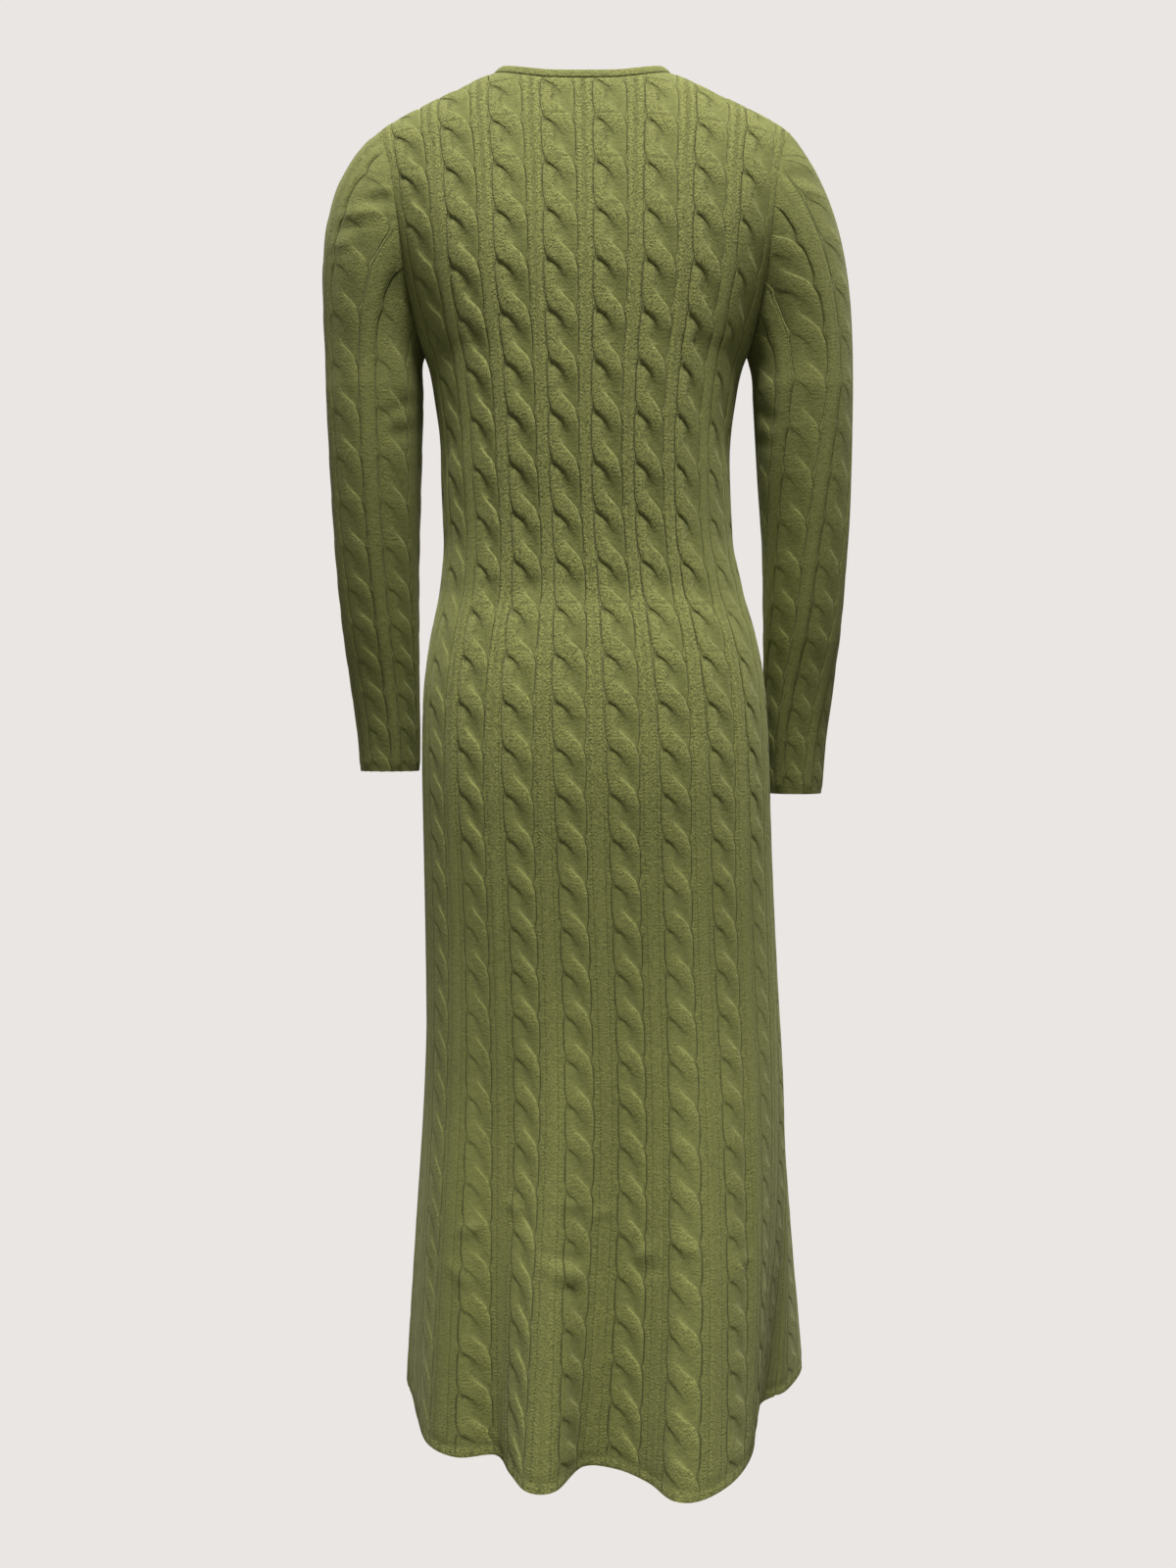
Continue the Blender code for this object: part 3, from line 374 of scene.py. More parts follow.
def row_interp(x, xs, ys):
    """Linear interpolation along each row, with one x for each row."""
    cell = np.clip((xs < x[:, None]).sum(axis=1) - 1, 0, xs.shape[1] - 2)
    rows = np.arange(len(x))
    x0 = xs[rows, cell]
    x1 = xs[rows, cell + 1]
    t = np.clip((x - x0) / np.maximum(x1 - x0, 1e-12), 0, 1)
    return ys[rows, cell] * (1 - t) + ys[rows, cell + 1] * t


def point_by_length(length, reach, depth, power):
    px, py, run = arc_lengths(reach, depth, power)
    length = np.clip(length, 0, run[:, -1])
    return row_interp(length, run, px), row_interp(length, run, py)


def running_table(pitch_table, start):
    """Heights and the number of crossings passed from `start` down to each of them."""
    heights = np.linspace(start, HEM - 0.02, RUN_SAMPLES)
    pitch = column_at(pitch_table, "pitch", heights)
    count = np.concatenate([[0], np.cumsum(-np.diff(heights) / ((pitch[1:] + pitch[:-1]) / 2))])
    return heights, count


BODY_RUN = running_table(CROSSING_PITCH, UNDERARM)
SLEEVE_RUN = running_table(SLEEVE_PITCH, BICEPS)


def body_height(along):
    return np.interp(along, BODY_RUN[1], BODY_RUN[0])


def body_along(height):
    return np.interp(-height, -BODY_RUN[0], BODY_RUN[1])


HEM_ALONG = float(body_along(HEM))


def closed_curve(table, names, per_row=16):
    """Closed Catmull-Rom curve through the rows of a table, as dense columns."""
    rows = np.array([table[name] for name in names]).T
    before = np.roll(rows, 1, axis=0)
    after = np.roll(rows, -1, axis=0)
    beyond = np.roll(rows, -2, axis=0)
    out = []
    for t in np.arange(per_row) / per_row:
        out.append(
            0.5 * (2 * rows + (after - before) * t + (2 * before - 5 * rows + 4 * after - beyond) * t**2
                   + (3 * rows - before - 3 * after + beyond) * t**3)
        )
    return np.array(out).transpose(1, 0, 2).reshape(-1, len(names))


def hem_ring():
    """Hem plan by cable number: running cable count from centre back, x, y and fold start."""
    ring = closed_curve(HEM_FOLDS, ("x", "y", "starts"))
    first = np.argmin(np.hypot(ring[:, 0] - HEM_CENTRE_BACK[0], ring[:, 1] - HEM_CENTRE_BACK[1]))
    ring = np.roll(ring, -first, axis=0)
    ring = np.vstack([ring, ring[:1]])
    run = np.concatenate([[0], np.cumsum(np.hypot(*np.diff(ring[:, :2], axis=0).T))])
    return run / run[-1] * 2 * CABLES_PER_PANEL, ring


HEM_COUNT, HEM_RING = hem_ring()


def section(height, name):
    return column_at(SECTIONS, name, height)


def depth_name(panel):
    return "back" if panel == BACK else "front"


def shoulder_arc(panel, across):
    """Rise above the underarm and depth of the quarter curve that bends in over the shoulder."""
    rise = column_at(SHOULDER_LINE, "height", np.abs(across)) - UNDERARM
    return rise, section(np.full_like(across, BEND_LEVEL), depth_name(panel))


def body_point(panel, across, along):
    """Middle of the wall on a panel. Above underarm level each cable bends in over the shoulder."""
    across = np.asarray(across, float)
    along = np.asarray(along, float)
    side = np.sign(across)
    reach = np.abs(across)
    low_height = body_height(np.maximum(along, 0))
    rise, top_depth = shoulder_arc(panel, across)
    up_length = np.maximum(-along, 0) * CROSSING_PITCH["pitch"][0]
    climbed, _ = point_by_length(up_length, rise, top_depth, SHOULDER_POWER)
    height = np.where(along < 0, UNDERARM + climbed, low_height)
    bend = np.clip(climbed / rise, 0, 1)
    bend = np.where(along < 0, (1 - bend**SHOULDER_POWER) ** (1 / SHOULDER_POWER), 1.0)

    half_width = section(height, "half_width")
    depth = section(height, depth_name(panel))
    px, py, run = arc_lengths(half_width, depth, BODY_POWER)
    per_cable = run[:, -1] * 2 / CABLES_PER_PANEL
    above = column_at(CABLE_SPACING, "spacing", height)
    level = np.array([UNDERARM])
    _, _, low_run = arc_lengths(section(level, "half_width"), section(level, depth_name(panel)), BODY_POWER)
    at_underarm = low_run[0, -1] * 2 / CABLES_PER_PANEL
    fade = ease(-along / SPACING_RUN)
    spacing = np.where(along < 0, at_underarm * (1 - fade) + above * fade, per_cable)
    length = np.clip(reach * spacing, 0, run[:, -1])
    px = row_interp(length, run, px)
    py = row_interp(length, run, py)
    x = section(height, "shift") - panel * side * px
    y = panel * py * bend

    around = across if panel == BACK else across + CABLES_PER_PANEL
    number = np.mod(around, 2 * CABLES_PER_PANEL)
    hem_x = np.interp(number, HEM_COUNT, HEM_RING[:, 0])
    hem_y = np.interp(number, HEM_COUNT, HEM_RING[:, 1])
    starts = np.interp(number, HEM_COUNT, HEM_RING[:, 2])
    share = np.clip((starts - height) / (starts - HEM), 0, FOLD_LIMIT)
    share = np.where(share < 1, share**FOLD_POWER, 1 + FOLD_POWER * (share - 1))
    x = x + share * (hem_x - x)
    y = y + share * (hem_y - y)
    return np.stack([x, y, height], axis=-1)


def unit(vectors):
    return vectors / np.maximum(np.linalg.norm(vectors, axis=-1, keepdims=True), 1e-12)


def normals_of(surface, which, across, along, step_along=SLOPE_STEP):
    """Outward normals from the slopes of body_point on a panel, or of sleeve_point on a side."""
    d_across = surface(which, across + SLOPE_STEP, along) - surface(which, across - SLOPE_STEP, along)
    d_along = surface(which, across, along + step_along) - surface(which, across, along - step_along)
    return unit(np.cross(d_along, d_across))


def shoulder_along(panel, across):
    """Knitting coordinate of the shoulder seam."""
    rise, top_depth = shoulder_arc(panel, across)
    return -arc_lengths(rise, top_depth, SHOULDER_POWER)[2][:, -1] / CROSSING_PITCH["pitch"][0]


def along_at_height(panel, across, height):
    """Knitting coordinate of a height above the underarm."""
    rise, top_depth = shoulder_arc(panel, across)
    px, _, run = arc_lengths(rise, top_depth, SHOULDER_POWER)
    return -row_interp(height - UNDERARM, px, run) / CROSSING_PITCH["pitch"][0]


def armhole_curve(panel, share):
    """Knitting coordinates of the right armhole edge, share 0 at the shoulder and 1 at the underarm."""
    share = np.asarray(share, float)
    weights = np.array([(1 - share) ** 3, 3 * share * (1 - share) ** 2, 3 * share**2 * (1 - share), share**3])
    across = np.array(ARMHOLE["across"]) @ weights
    drop = np.array(ARMHOLE["drop"]) @ weights
    top = shoulder_along(panel, np.array([ARMHOLE["across"][0]]))[0]
    return across, top * (1 - drop)


def sleeve_table(side):
    return SLEEVE_LEFT if side == LEFT else SLEEVE_RIGHT


def sleeve_along(height):
    return np.interp(-height, -SLEEVE_RUN[0], SLEEVE_RUN[1])


def cuff_along(side):
    return float(sleeve_along(sleeve_table(side)["height"][-1]))


def armhole_place(side, around):
    """Place round the armhole, 0 at the underarm, of a place round the sleeve."""
    return around + SLEEVE_SET[side]


def armhole_angle(side, around):
    """Angle of a place round the sleeve, seen from above, counted from +X."""
    start = math.pi if side == LEFT else 0.0
    return start + armhole_place(side, around) * 2 * math.pi / CABLES_PER_SLEEVE


def tube_point(side, around, height):
    """Middle of the sleeve wall below the cap."""
    table = sleeve_table(side)
    angle = armhole_angle(side, around) + np.radians(column_at(table, "turn", height))
    x = side * column_at(table, "x", height) + column_at(table, "half_width", height) * np.cos(angle)
    y = column_at(table, "y", height) + column_at(table, "half_depth", height) * np.sin(angle)
    return np.stack([x, y, height], axis=-1)


def cap_share(side, around):
    """Share of the armhole at a place round the sleeve: 1 at the underarm and 0 at the shoulder."""
    half = CABLES_PER_SLEEVE / 2
    return np.abs(np.mod(armhole_place(side, around), CABLES_PER_SLEEVE) - half) / half


def on_front_half(side, around):
    return (np.mod(armhole_place(side, around), CABLES_PER_SLEEVE) < CABLES_PER_SLEEVE / 2) == (side == LEFT)


def cap_seam_point(side, around):
    share = cap_share(side, around)
    points = {}
    for panel in (BACK, FRONT):
        across, along = armhole_curve(panel, share)
        points[panel] = body_point(panel, -across * side * panel, along)
    return np.where(on_front_half(side, around)[..., None], points[FRONT], points[BACK])


def make_cap_lookup(side):
    """The armhole seam and the sleeve's length above the biceps, sampled once round the sleeve."""
    around = np.linspace(0, CABLES_PER_SLEEVE, CAP_SAMPLES)
    seam = cap_seam_point(side, around)
    level = np.full_like(around, BICEPS)
    length = CAP_EASE * np.linalg.norm(seam - tube_point(side, around, level), axis=-1)
    return around, seam, length


CAP_LOOKUP = {side: make_cap_lookup(side) for side in (LEFT, RIGHT)}


def cap_seam_at(side, around):
    places, seam, _ = CAP_LOOKUP[side]
    around = np.mod(around, CABLES_PER_SLEEVE)
    return np.stack([np.interp(around, places, seam[:, k]) for k in range(3)], axis=-1)


def cap_length(side, around):
    places, _, length = CAP_LOOKUP[side]
    return np.interp(np.mod(around, CABLES_PER_SLEEVE), places, length)


def cap_along(side, around):
    """Knitting coordinate of the sleeve's top edge, below zero."""
    return -cap_length(side, around) / CAP_PITCH


def sleeve_point(side, around, along):
    """Middle of the sleeve wall. The cap runs in a cubic from the biceps ring to the armhole."""
    around = np.asarray(around, float)
    along = np.asarray(along, float)
    low = tube_point(side, around, np.interp(np.maximum(along, 0), SLEEVE_RUN[1], SLEEVE_RUN[0]))
    foot = tube_point(side, around, np.full_like(around, BICEPS))
    seam = cap_seam_at(side, around)
    length = cap_length(side, around)
    name = "left" if side == LEFT else "right"
    fall = np.radians(column_at(SLEEVE_FALL, name, 1 - cap_share(side, around)))
    swell = CAP_SWELL * np.sin(armhole_angle(side, around))
    leave = unit(np.stack([side * np.cos(fall), swell, -np.sin(fall)], axis=-1))
    t = np.clip(-along * CAP_PITCH / length, 0, CAP_LIMIT)[..., None]
    up = length[..., None] * np.array([0.0, 0.0, 1.0])
    inward = -length[..., None] * leave
    cap = (
        (2 * t**3 - 3 * t**2 + 1) * foot
        + (t**3 - 2 * t**2 + t) * up
        + (3 * t**2 - 2 * t**3) * seam
        + (t**3 - t**2) * inward
    )
    return np.where((along < 0)[..., None], cap, low)


def armhole_seam(side, around):
    """Outward direction and the way towards the sleeve, at places on an armhole seam."""
    share = cap_share(side, around)
    body_normal = np.zeros((len(around), 3))
    inward = np.zeros((len(around), 3))
    front_half = on_front_half(side, around)
    for panel in (BACK, FRONT):
        across, along = armhole_curve(panel, share)
        across = -across * side * panel
        normal = normals_of(body_point, panel, across, along)
        inside = body_point(panel, across * INSIDE_HOLE, along + BELOW_HOLE)
        corner = (share < SEAM_CORNER) | (share > 1 - SEAM_CORNER)
        take = ((front_half == (panel == FRONT)) | corner)[:, None]
        body_normal += np.where(take, normal, 0)
        inward += np.where(take, inside - body_point(panel, across, along), 0)
    low = cap_along(side, around) + BELOW_CAP
    sleeve_normal = normals_of(sleeve_point, side, around, low, CAP_SLOPE_STEP)
    out = unit(unit(body_normal) + sleeve_normal)
    run = cap_seam_at(side, around + SEAM_STEP) - cap_seam_at(side, around - SEAM_STEP)
    way = unit(np.cross(run, out))
    way = way * -np.sign((way * inward).sum(axis=1))[:, None]
    return out, way


# ---- one crossing, divided finely and repeated ----


def strand_sides(down):
    left = column_at(STRAND_LEFT, "side", down)
    right = column_at(STRAND_RIGHT, "side", down)
    return left, np.maximum(right, left + NARROWEST_STRAND)


def bell(distance, width):
    """1 at no distance, falling softly to 0 either side."""
    return np.exp(-((distance / width) ** 2))


def corner_place(sideways, down):
    """Distance along from the nearest corner of the cable's outline, where two strands meet its edge."""
    return np.mod(down - (CORNER_DOWN + CORNER_STAGGER * np.sign(sideways)) + 0.5, 1.0) - 0.5


def strand_relief(cable, down):
    """The strands' height as a share, the painted shade on their tails and heads, the painted highlights on
    their rim and ridge, and the stitch column.
    """
    height = np.zeros(len(cable))
    tail = np.ones(len(cable))
    painted_leaf_shade = np.ones(len(cable))
    rim = np.zeros(len(cable))
    ridge = np.zeros(len(cable))
    column = cable * STITCHES_PER_STRAND
    for k in STRANDS_NEAR:
        tau = down - k
        left, right = strand_sides(tau)
        r = (2 * cable - left - right) / (right - left)
        peak = column_at(PEAK, "side", tau)
        away = np.where(r > peak, (r - peak) / (1 - peak), (peak - r) / (1 + peak))
        edge = np.where(r < peak, column_at(LEFT_WALL, "stand", tau), column_at(RIGHT_WALL, "stand", tau))
        body = edge + (1 - edge) * np.maximum(1 - away * away, 0) ** column_at(FLANK, "power", tau)
        lift = column_at(STRAND_HEIGHT, "height", tau) * body
        valid = (tau > STRAND_HEAD) & (tau < STRAND_END) & (np.abs(r) <= JUST_OVER_ONE)
        better = valid & (lift > height)
        # the tail and the head of a strand are marked for painted shade
        late = ease((tau - TAIL_FROM) / TAIL_RUN)
        early = 1 - ease((tau - HEAD_FROM) / HEAD_RUN)
        # the rim inside the right edge and the ridge are marked for painted highlights
        light = column_at(RIM, "bright", tau)
        own_column = r * STITCHES_PER_STRAND / 2 + 2 * STITCHES_PER_STRAND * (k % 2)
        height = np.where(better, lift, height)
        tail = np.where(better, late, tail)
        painted_leaf_shade = np.where(better, np.maximum(early, late), painted_leaf_shade)
        rim = np.where(better, light * np.clip(1 - (right - cable) / RIM_WIDTH, 0, 1), rim)
        ridge = np.where(better, light * (1 - ease((right - cable) / RIDGE_WIDTH)), ridge)
        column = np.where(better, own_column, column)
    return {"shape": height, "rim": rim, "ridge": ridge, "tail": tail, "painted_leaf_shade": painted_leaf_shade}, column


def strand_folds(cable, down):
    """How dark the painted shadow is in the fold beside the strands' standing edges."""
    fold = np.zeros(len(cable))
    for k in STRANDS_NEAR:
        tau = down - k
        left, right = strand_sides(tau)
        for i, (wall, foot) in enumerate(((LEFT_WALL, left - cable), (RIGHT_WALL, cable - right))):
            stand = column_at(wall, "stand", tau) / FULL_WALL
            beside = np.where(foot > FOLD_CLEAR, bell(foot - FOLD_AWAY, FOLD["wide"][i]), 0.0)
            fold = np.maximum(fold, beside * stand * FOLD["painted_shade"][i] * (np.abs(tau) < FOLD["reach"][i]))
    return fold


def crossing_relief(sideways, down):
    """What the knit is like at places in a cell: all are shares, but for the band's relief in metres."""
    half = CABLE_SHARE / 2
    cable = sideways / half
    band = np.clip((np.abs(sideways) - half) / (0.5 - half), 0, 1)
    in_cable = np.abs(cable) <= JUST_OVER_ONE
    strands, column = strand_relief(cable, down)
    marks = {name: np.where(in_cable, values, 0.0) for name, values in strands.items()}

    rib_line = bell(np.abs(sideways) - (0.5 - RIB_SHARE / 2), RIB_LINE)
    band_relief = ease(band / BAND_EDGE) * BAND_RISE - rib_line * RIB_DEPTH
    # The outline along the cable's edge and the lines beside the band and down its rib are painted shade in
    # the grooves, fading where two strands meet the edge.
    kept = 1 - CORNER_GAP * bell(corner_place(sideways, down), CORNER_RUN)
    outline = bell(np.abs(cable) - 1, GROOVE_SHADE_WIDTH) * kept
    beside = np.maximum(BAND_SHADE * (1 - ease(band / BAND_SHADE_WIDTH)) * kept, RIB_SHADE * rib_line)
    marks["band"] = np.where(in_cable, 0.0, band_relief)
    marks["groove"] = np.maximum(outline, np.where(in_cable, 0.0, beside))
    marks["fold"] = strand_folds(cable, down)
    band_column = BAND_FIRST_COLUMN + np.sign(sideways) * band * STITCHES_PER_BAND / 2
    marks["stitch"] = np.where(in_cable, column, band_column)
    return marks


def add_line(points, lines, sideways, down):
    """A guide line of points in the cell, each joined to the next."""
    first = len(points)
    points += list(zip(sideways, down))
    lines += [(first + i, first + i + 1) for i in range(len(sideways) - 1)]


def crossing_points():
    """Guide points and lines that follow the strands' edges, then those along the band."""
    half = CABLE_SHARE / 2
    points = []
    lines = []
    for i, count in enumerate(EDGE_GUIDES["points"]):
        down = np.linspace(EDGE_GUIDES["from"][i], EDGE_GUIDES["to"][i], count)
        edge = strand_sides(down)[i]
        for beside, shift in zip(EDGE_GUIDES["beside"][i], EDGE_GUIDES["shift"][i]):
            add_line(points, lines, (edge + beside) * half, down + shift)
    rib = 0.5 - RIB_SHARE / 2
    for side in (-1.0, 1.0):
        by_edge = (half - EDGE_GUIDE_IN, half, half + EDGE_GUIDE_OUT)
        for away in (*by_edge, rib - RIB_GUIDE, rib, rib + RIB_GUIDE):
            first = len(points)
            down = [(i + 0.25) / BAND_GUIDE_POINTS for i in range(BAND_GUIDE_POINTS)]
            add_line(points, lines, [side * away] * BAND_GUIDE_POINTS, down)
            lines.append((first + BAND_GUIDE_POINTS - 1, -first - 1))
    return points, lines


def loose_points():
    """Evenly staggered points for the rest of a cell, nudged a little so that no four lie on a circle."""
    columns = int(round(CELL_WIDTH_MM / POINT_SPACING_MM))
    rows = 2 * int(round(ALONG_MM / POINT_SPACING_MM / EVEN_TRIANGLE / 2))
    points = []
    for j in range(rows):
        for i in range(columns):
            x = (i + 0.25 + 0.5 * (j % 2)) / columns - 0.5
            t = (j + 0.5) / rows
            nudge_x = NUDGE_ACROSS * math.sin(7.1 * i + 3.3 * j)
            nudge_t = NUDGE_ALONG * math.sin(5.3 * i - 2.7 * j)
            points.append((x + nudge_x, t + nudge_t))
    return np.array(points)


def triangles_between(points, edges, trouble):
    """Triangles over flat points, along the given edges, by the numbers of the points."""
    found = delaunay_2d_cdt([Vector(p) for p in points], edges, [], 0, 1e-7, True)
    if len(found[0]) != len(points):
        raise ValueError(trouble)
    back = [ids[0] for ids in found[3]]
    return np.array([[back[i] for i in face] for face in found[2]])


def crossing_template():
    """Points of a cell, its triangles, and how many cells away each corner's point is."""
    guide, lines = crossing_points()
    places = [(x, t % 1.0, math.floor(t)) for x, t in guide]
    scale = np.array([CELL_WIDTH_MM, ALONG_MM])
    fixed = np.array([(x, t) for x, t, _ in places])
    loose = loose_points()
    gap = loose[:, None, :] - fixed
    gap -= np.round(gap)
    near = np.linalg.norm(gap * scale, axis=2).min(axis=1)
    loose = loose[near > GUIDE_CLEAR * POINT_SPACING_MM]
    base = np.vstack([fixed, loose])
    count = len(base)
    shifts = [(di, dj) for dj in (-1, 0, 1) for di in (-1, 0, 1)]
    everything = np.vstack([base + np.array(shift) for shift in shifts])
    number = {shift: n * count for n, shift in enumerate(shifts)}
    edges = []
    for a, b in lines:
        # a line's last point, below zero, is joined to its first point one crossing further down
        onward = b < 0
        b = -b - 1 if onward else b
        hop = 1 if onward else places[b][2] - places[a][2]
        for di, dj in shifts:
            if (di, dj + hop) in number:
                edges.append((number[di, dj] + a, number[di, dj + hop] + b))
    flat_points = everything * scale * np.array([1.0, -1.0])
    faces = triangles_between(flat_points, edges, "guide lines of the crossing cross")
    centre = everything[faces].mean(axis=1)
    mine = (centre[:, 0] >= -0.5) & (centre[:, 0] < 0.5) & (centre[:, 1] >= 0) & (centre[:, 1] < 1)
    faces = faces[mine]
    corner = flat_points[faces]
    turn = np.cross(corner[:, 1] - corner[:, 0], corner[:, 2] - corner[:, 0])
    faces[turn < 0] = faces[turn < 0][:, ::-1]
    return base, faces % count, np.array(shifts)[faces // count]


TEMPLATE_POINTS, TEMPLATE_FACES, TEMPLATE_CELLS = crossing_template()
TEMPLATE_RELIEF = crossing_relief(TEMPLATE_POINTS[:, 0], TEMPLATE_POINTS[:, 1])


def warp_sideways(sideways, down, cable, rib):
    """Places in a cell moved so that the cable and the band's rib take the given shares of it."""
    half = CABLE_SHARE / 2
    rib_from = 0.5 - RIB_SHARE / 2
    size = np.abs(sideways)
    new_half = cable / 2
    new_rib = 0.5 - np.minimum(rib / 2, 0.5 - new_half - NARROWEST_STRIP)
    inside = size / half * new_half
    strip = new_half + (size - half) / (rib_from - half) * (new_rib - new_half)
    middle = new_rib + (size - rib_from) / (0.5 - rib_from) * (0.5 - new_rib)
    moved = np.where(size <= half, inside, np.where(size <= rib_from, strip, middle))
    near_corner = bell(corner_place(sideways, down), SWAY_RUN)
    sway = GROOVE_SWAY * new_half * near_corner * bell(size - half, SWAY_WIDTH)
    return np.sign(sideways) * (moved - sway)


def at_least(low, share):
    """`low` where the share is 0, rising to 1 where it is 1."""
    return low + (1 - low) * share


def knit_field(first_column, columns, first_row, rows, table, closed):
    """Every point and triangle of a field of crossings before it is cut, joined round if it is closed."""
    count = len(TEMPLATE_POINTS)
    cells = np.stack(np.meshgrid(np.arange(columns), np.arange(rows), indexing="xy"), axis=-1).reshape(-1, 2)
    down = np.tile(TEMPLATE_POINTS[:, 1], len(cells))
    along = np.repeat(cells[:, 1], count) + first_row + down
    knit = {name: column_at(table, name, along) for name in list(table)[1:]}
    mark = {name: np.tile(values, len(cells)) for name, values in TEMPLATE_RELIEF.items()}
    sideways = warp_sideways(np.tile(TEMPLATE_POINTS[:, 0], len(cells)), down, knit["cable"], knit["rib"])
    across = np.repeat(cells[:, 0] + first_column + 0.5, count) + sideways

    to_column = cells[:, None, None, 0] + TEMPLATE_CELLS[..., 0]
    to_row = cells[:, None, None, 1] + TEMPLATE_CELLS[..., 1]
    if closed:
        to_column = np.mod(to_column, columns)
    fits = (to_column >= 0) & (to_column < columns) & (to_row >= 0) & (to_row < rows)
    number = (to_row * columns + to_column) * count + TEMPLATE_FACES
    faces = number[fits.all(axis=2)]

    leaf = knit["leaf"]
    from_zone = np.abs(across - ZONE_SHIFT * leaf) - knit["zone"]
    full = 1.0 if closed else 1 - ease(from_zone / ZONE_EDGE)
    plump = knit["plump"] * full + np.maximum(knit["plump"], FLAT_PLUMP) * (1 - full)
    shape = 1 - (1 - mark["shape"]) ** plump
    rise = knit["rise"] * at_least(FLAT_RISE, full)
    # The tails, the heads in leaf shapes and the folds beside the strands' edges are painted shade; the nap
    # is cut back in that shade.
    tail = mark["tail"] * (1 - leaf) + mark["painted_leaf_shade"] * leaf
    painted_shade = np.maximum(mark["fold"] * knit["edge"], TAIL_SHADE * tail * at_least(FLAT_TAIL, full))
    brushed = knit["nap"] * at_least(FLAT_NAP, full) * (1 - PAINTED_SHADE_SMOOTHING * tail)
    # The rim and the ridge are painted highlights.
    rim = (1 - LEAF_RIM * leaf) * knit["edge"] * mark["rim"]
    light = RIM_PAINTED_HIGHLIGHT * (rim + RIDGE_PAINTED_HIGHLIGHT * leaf * mark["ridge"])
    return {
        "across": across,
        "along": along,
        "relief": shape * rise + mark["band"] * np.clip(rise / BAND_FULL_RISE, BAND_LOWEST, 1.0),
        # crease: painted shade in the grooves, folds and tails, less the painted highlights, which can take
        # it below zero
        "crease": np.maximum(mark["groove"], painted_shade) - light * at_least(FLAT_LIGHT, full),
        # nap: brushed fluff, cut back in the tails' painted shade and raised on the ridge, where it paints
        # light
        "nap": brushed + RIDGE_NAP_PAINTED_LIGHT * leaf * mark["ridge"],
        "stitch": np.repeat(cells[:, 0], count) * COLUMNS_PER_CELL + mark["stitch"],
    }, faces


# A cut passes through a point that is this near to it, and distances are worked out in parts this large.
CUT_SNAP_MM = 0.45
PAIRS_AT_ONCE = 2000000


def cut_field(field, faces, depth):
    """The field cut where `depth`, its distance inside the outline in millimetres, falls to zero."""
    depth = depth.copy()
    depth[np.abs(depth) < CUT_SNAP_MM] = 0.0
    keep = (depth[faces] > 0).any(axis=1)
    faces = faces[keep]
    inside = depth[faces] >= 0
    whole = faces[inside.all(axis=1)].tolist()
    names = list(field)
    columns = {name: [] for name in names}
    made = {}
    size = len(depth)

    def cut(a, b):
        key = (min(a, b), max(a, b))
        if key not in made:
            low, high = key
            t = depth[low] / (depth[low] - depth[high])
            for name in names:
                values = field[name]
                columns[name].append(values[low] * (1 - t) + values[high] * t)
            made[key] = size + len(made)
        return made[key]

    for face in faces[~inside.all(axis=1)].tolist():
        ring = []
        for a, b in zip(face, face[1:] + face[:1]):
            if depth[a] >= 0:
                ring.append(a)
            if (depth[a] > 0 and depth[b] < 0) or (depth[a] < 0 and depth[b] > 0):
                ring.append(cut(a, b))
        for i in range(1, len(ring) - 1):
            whole.append([ring[0], ring[i], ring[i + 1]])
    used, whole = np.unique(np.array(whole), return_inverse=True)
    field = {name: np.concatenate([field[name], columns[name]])[used] for name in names}
    return field, whole.reshape(-1, 3)


def boundary_loops(faces):
    """The open edges of a skin as loops of points, in the order of its faces."""
    edges = np.concatenate([faces[:, [0, 1]], faces[:, [1, 2]], faces[:, [2, 0]]])
    size = int(faces.max()) + 1
    key = edges[:, 0].astype(np.int64) * size + edges[:, 1]
    back = edges[:, 1].astype(np.int64) * size + edges[:, 0]
    open_edges = edges[~np.isin(key, back)]
    after = dict(map(tuple, open_edges.tolist()))
    if len(after) != len(open_edges):
        raise ValueError("the edge of a skin touches itself")
    loops = []
    while after:
        start, here = next(iter(after.items()))
        del after[start]
        loop = [start]
        while here != start:
            loop.append(here)
            here = after.pop(here)
        loops.append(loop)
    return sorted(loops, key=len, reverse=True)


def flat(across, along):
    return np.stack([np.asarray(across) * ACROSS_MM, -np.asarray(along) * ALONG_MM], axis=-1)


def clearance(points, loop):
    """Distance of flat points inside a closed loop, below zero outside it, and the loop's nearest run."""
    run = np.roll(loop, -1, axis=0) - loop
    ends = loop + run
    height = np.where(run[:, 1] == 0, 1e-12, run[:, 1])
    gaps = []
    nearest = []
    for part in np.array_split(points, max(1, len(points) * len(loop) // PAIRS_AT_ONCE)):
        offset = part[:, None, :] - loop
        t = np.clip((offset * run).sum(axis=2) / (run * run).sum(axis=1), 0, 1)
        away = np.linalg.norm(offset - t[..., None] * run, axis=2)
        above = (loop[:, 1] > part[:, 1:2]) != (ends[:, 1] > part[:, 1:2])
        cross = loop[:, 0] + (part[:, 1:2] - loop[:, 1]) * run[:, 0] / height
        inside = (above & (part[:, 0:1] < cross)).sum(axis=1) % 2 == 1
        gap = away.min(axis=1)
        gaps.append(np.where(inside, gap, -gap))
        nearest.append(away.argmin(axis=1))
    return np.concatenate(gaps), np.concatenate(nearest)


def inner_faces(loop, grid, clear):
    """Triangles over a flat piece from its edge and a coarse grid, edge points first."""
    keep = clearance(grid, loop)[0] > clear
    edges = [(i, (i + 1) % len(loop)) for i in range(len(loop))]
    everything = np.vstack([loop, grid[keep]])
    faces = triangles_between(everything, edges, "the edge of a piece crosses itself")
    inside = clearance(everything[faces].mean(axis=1), loop)[0] > 0
    return np.flatnonzero(keep), faces[inside]


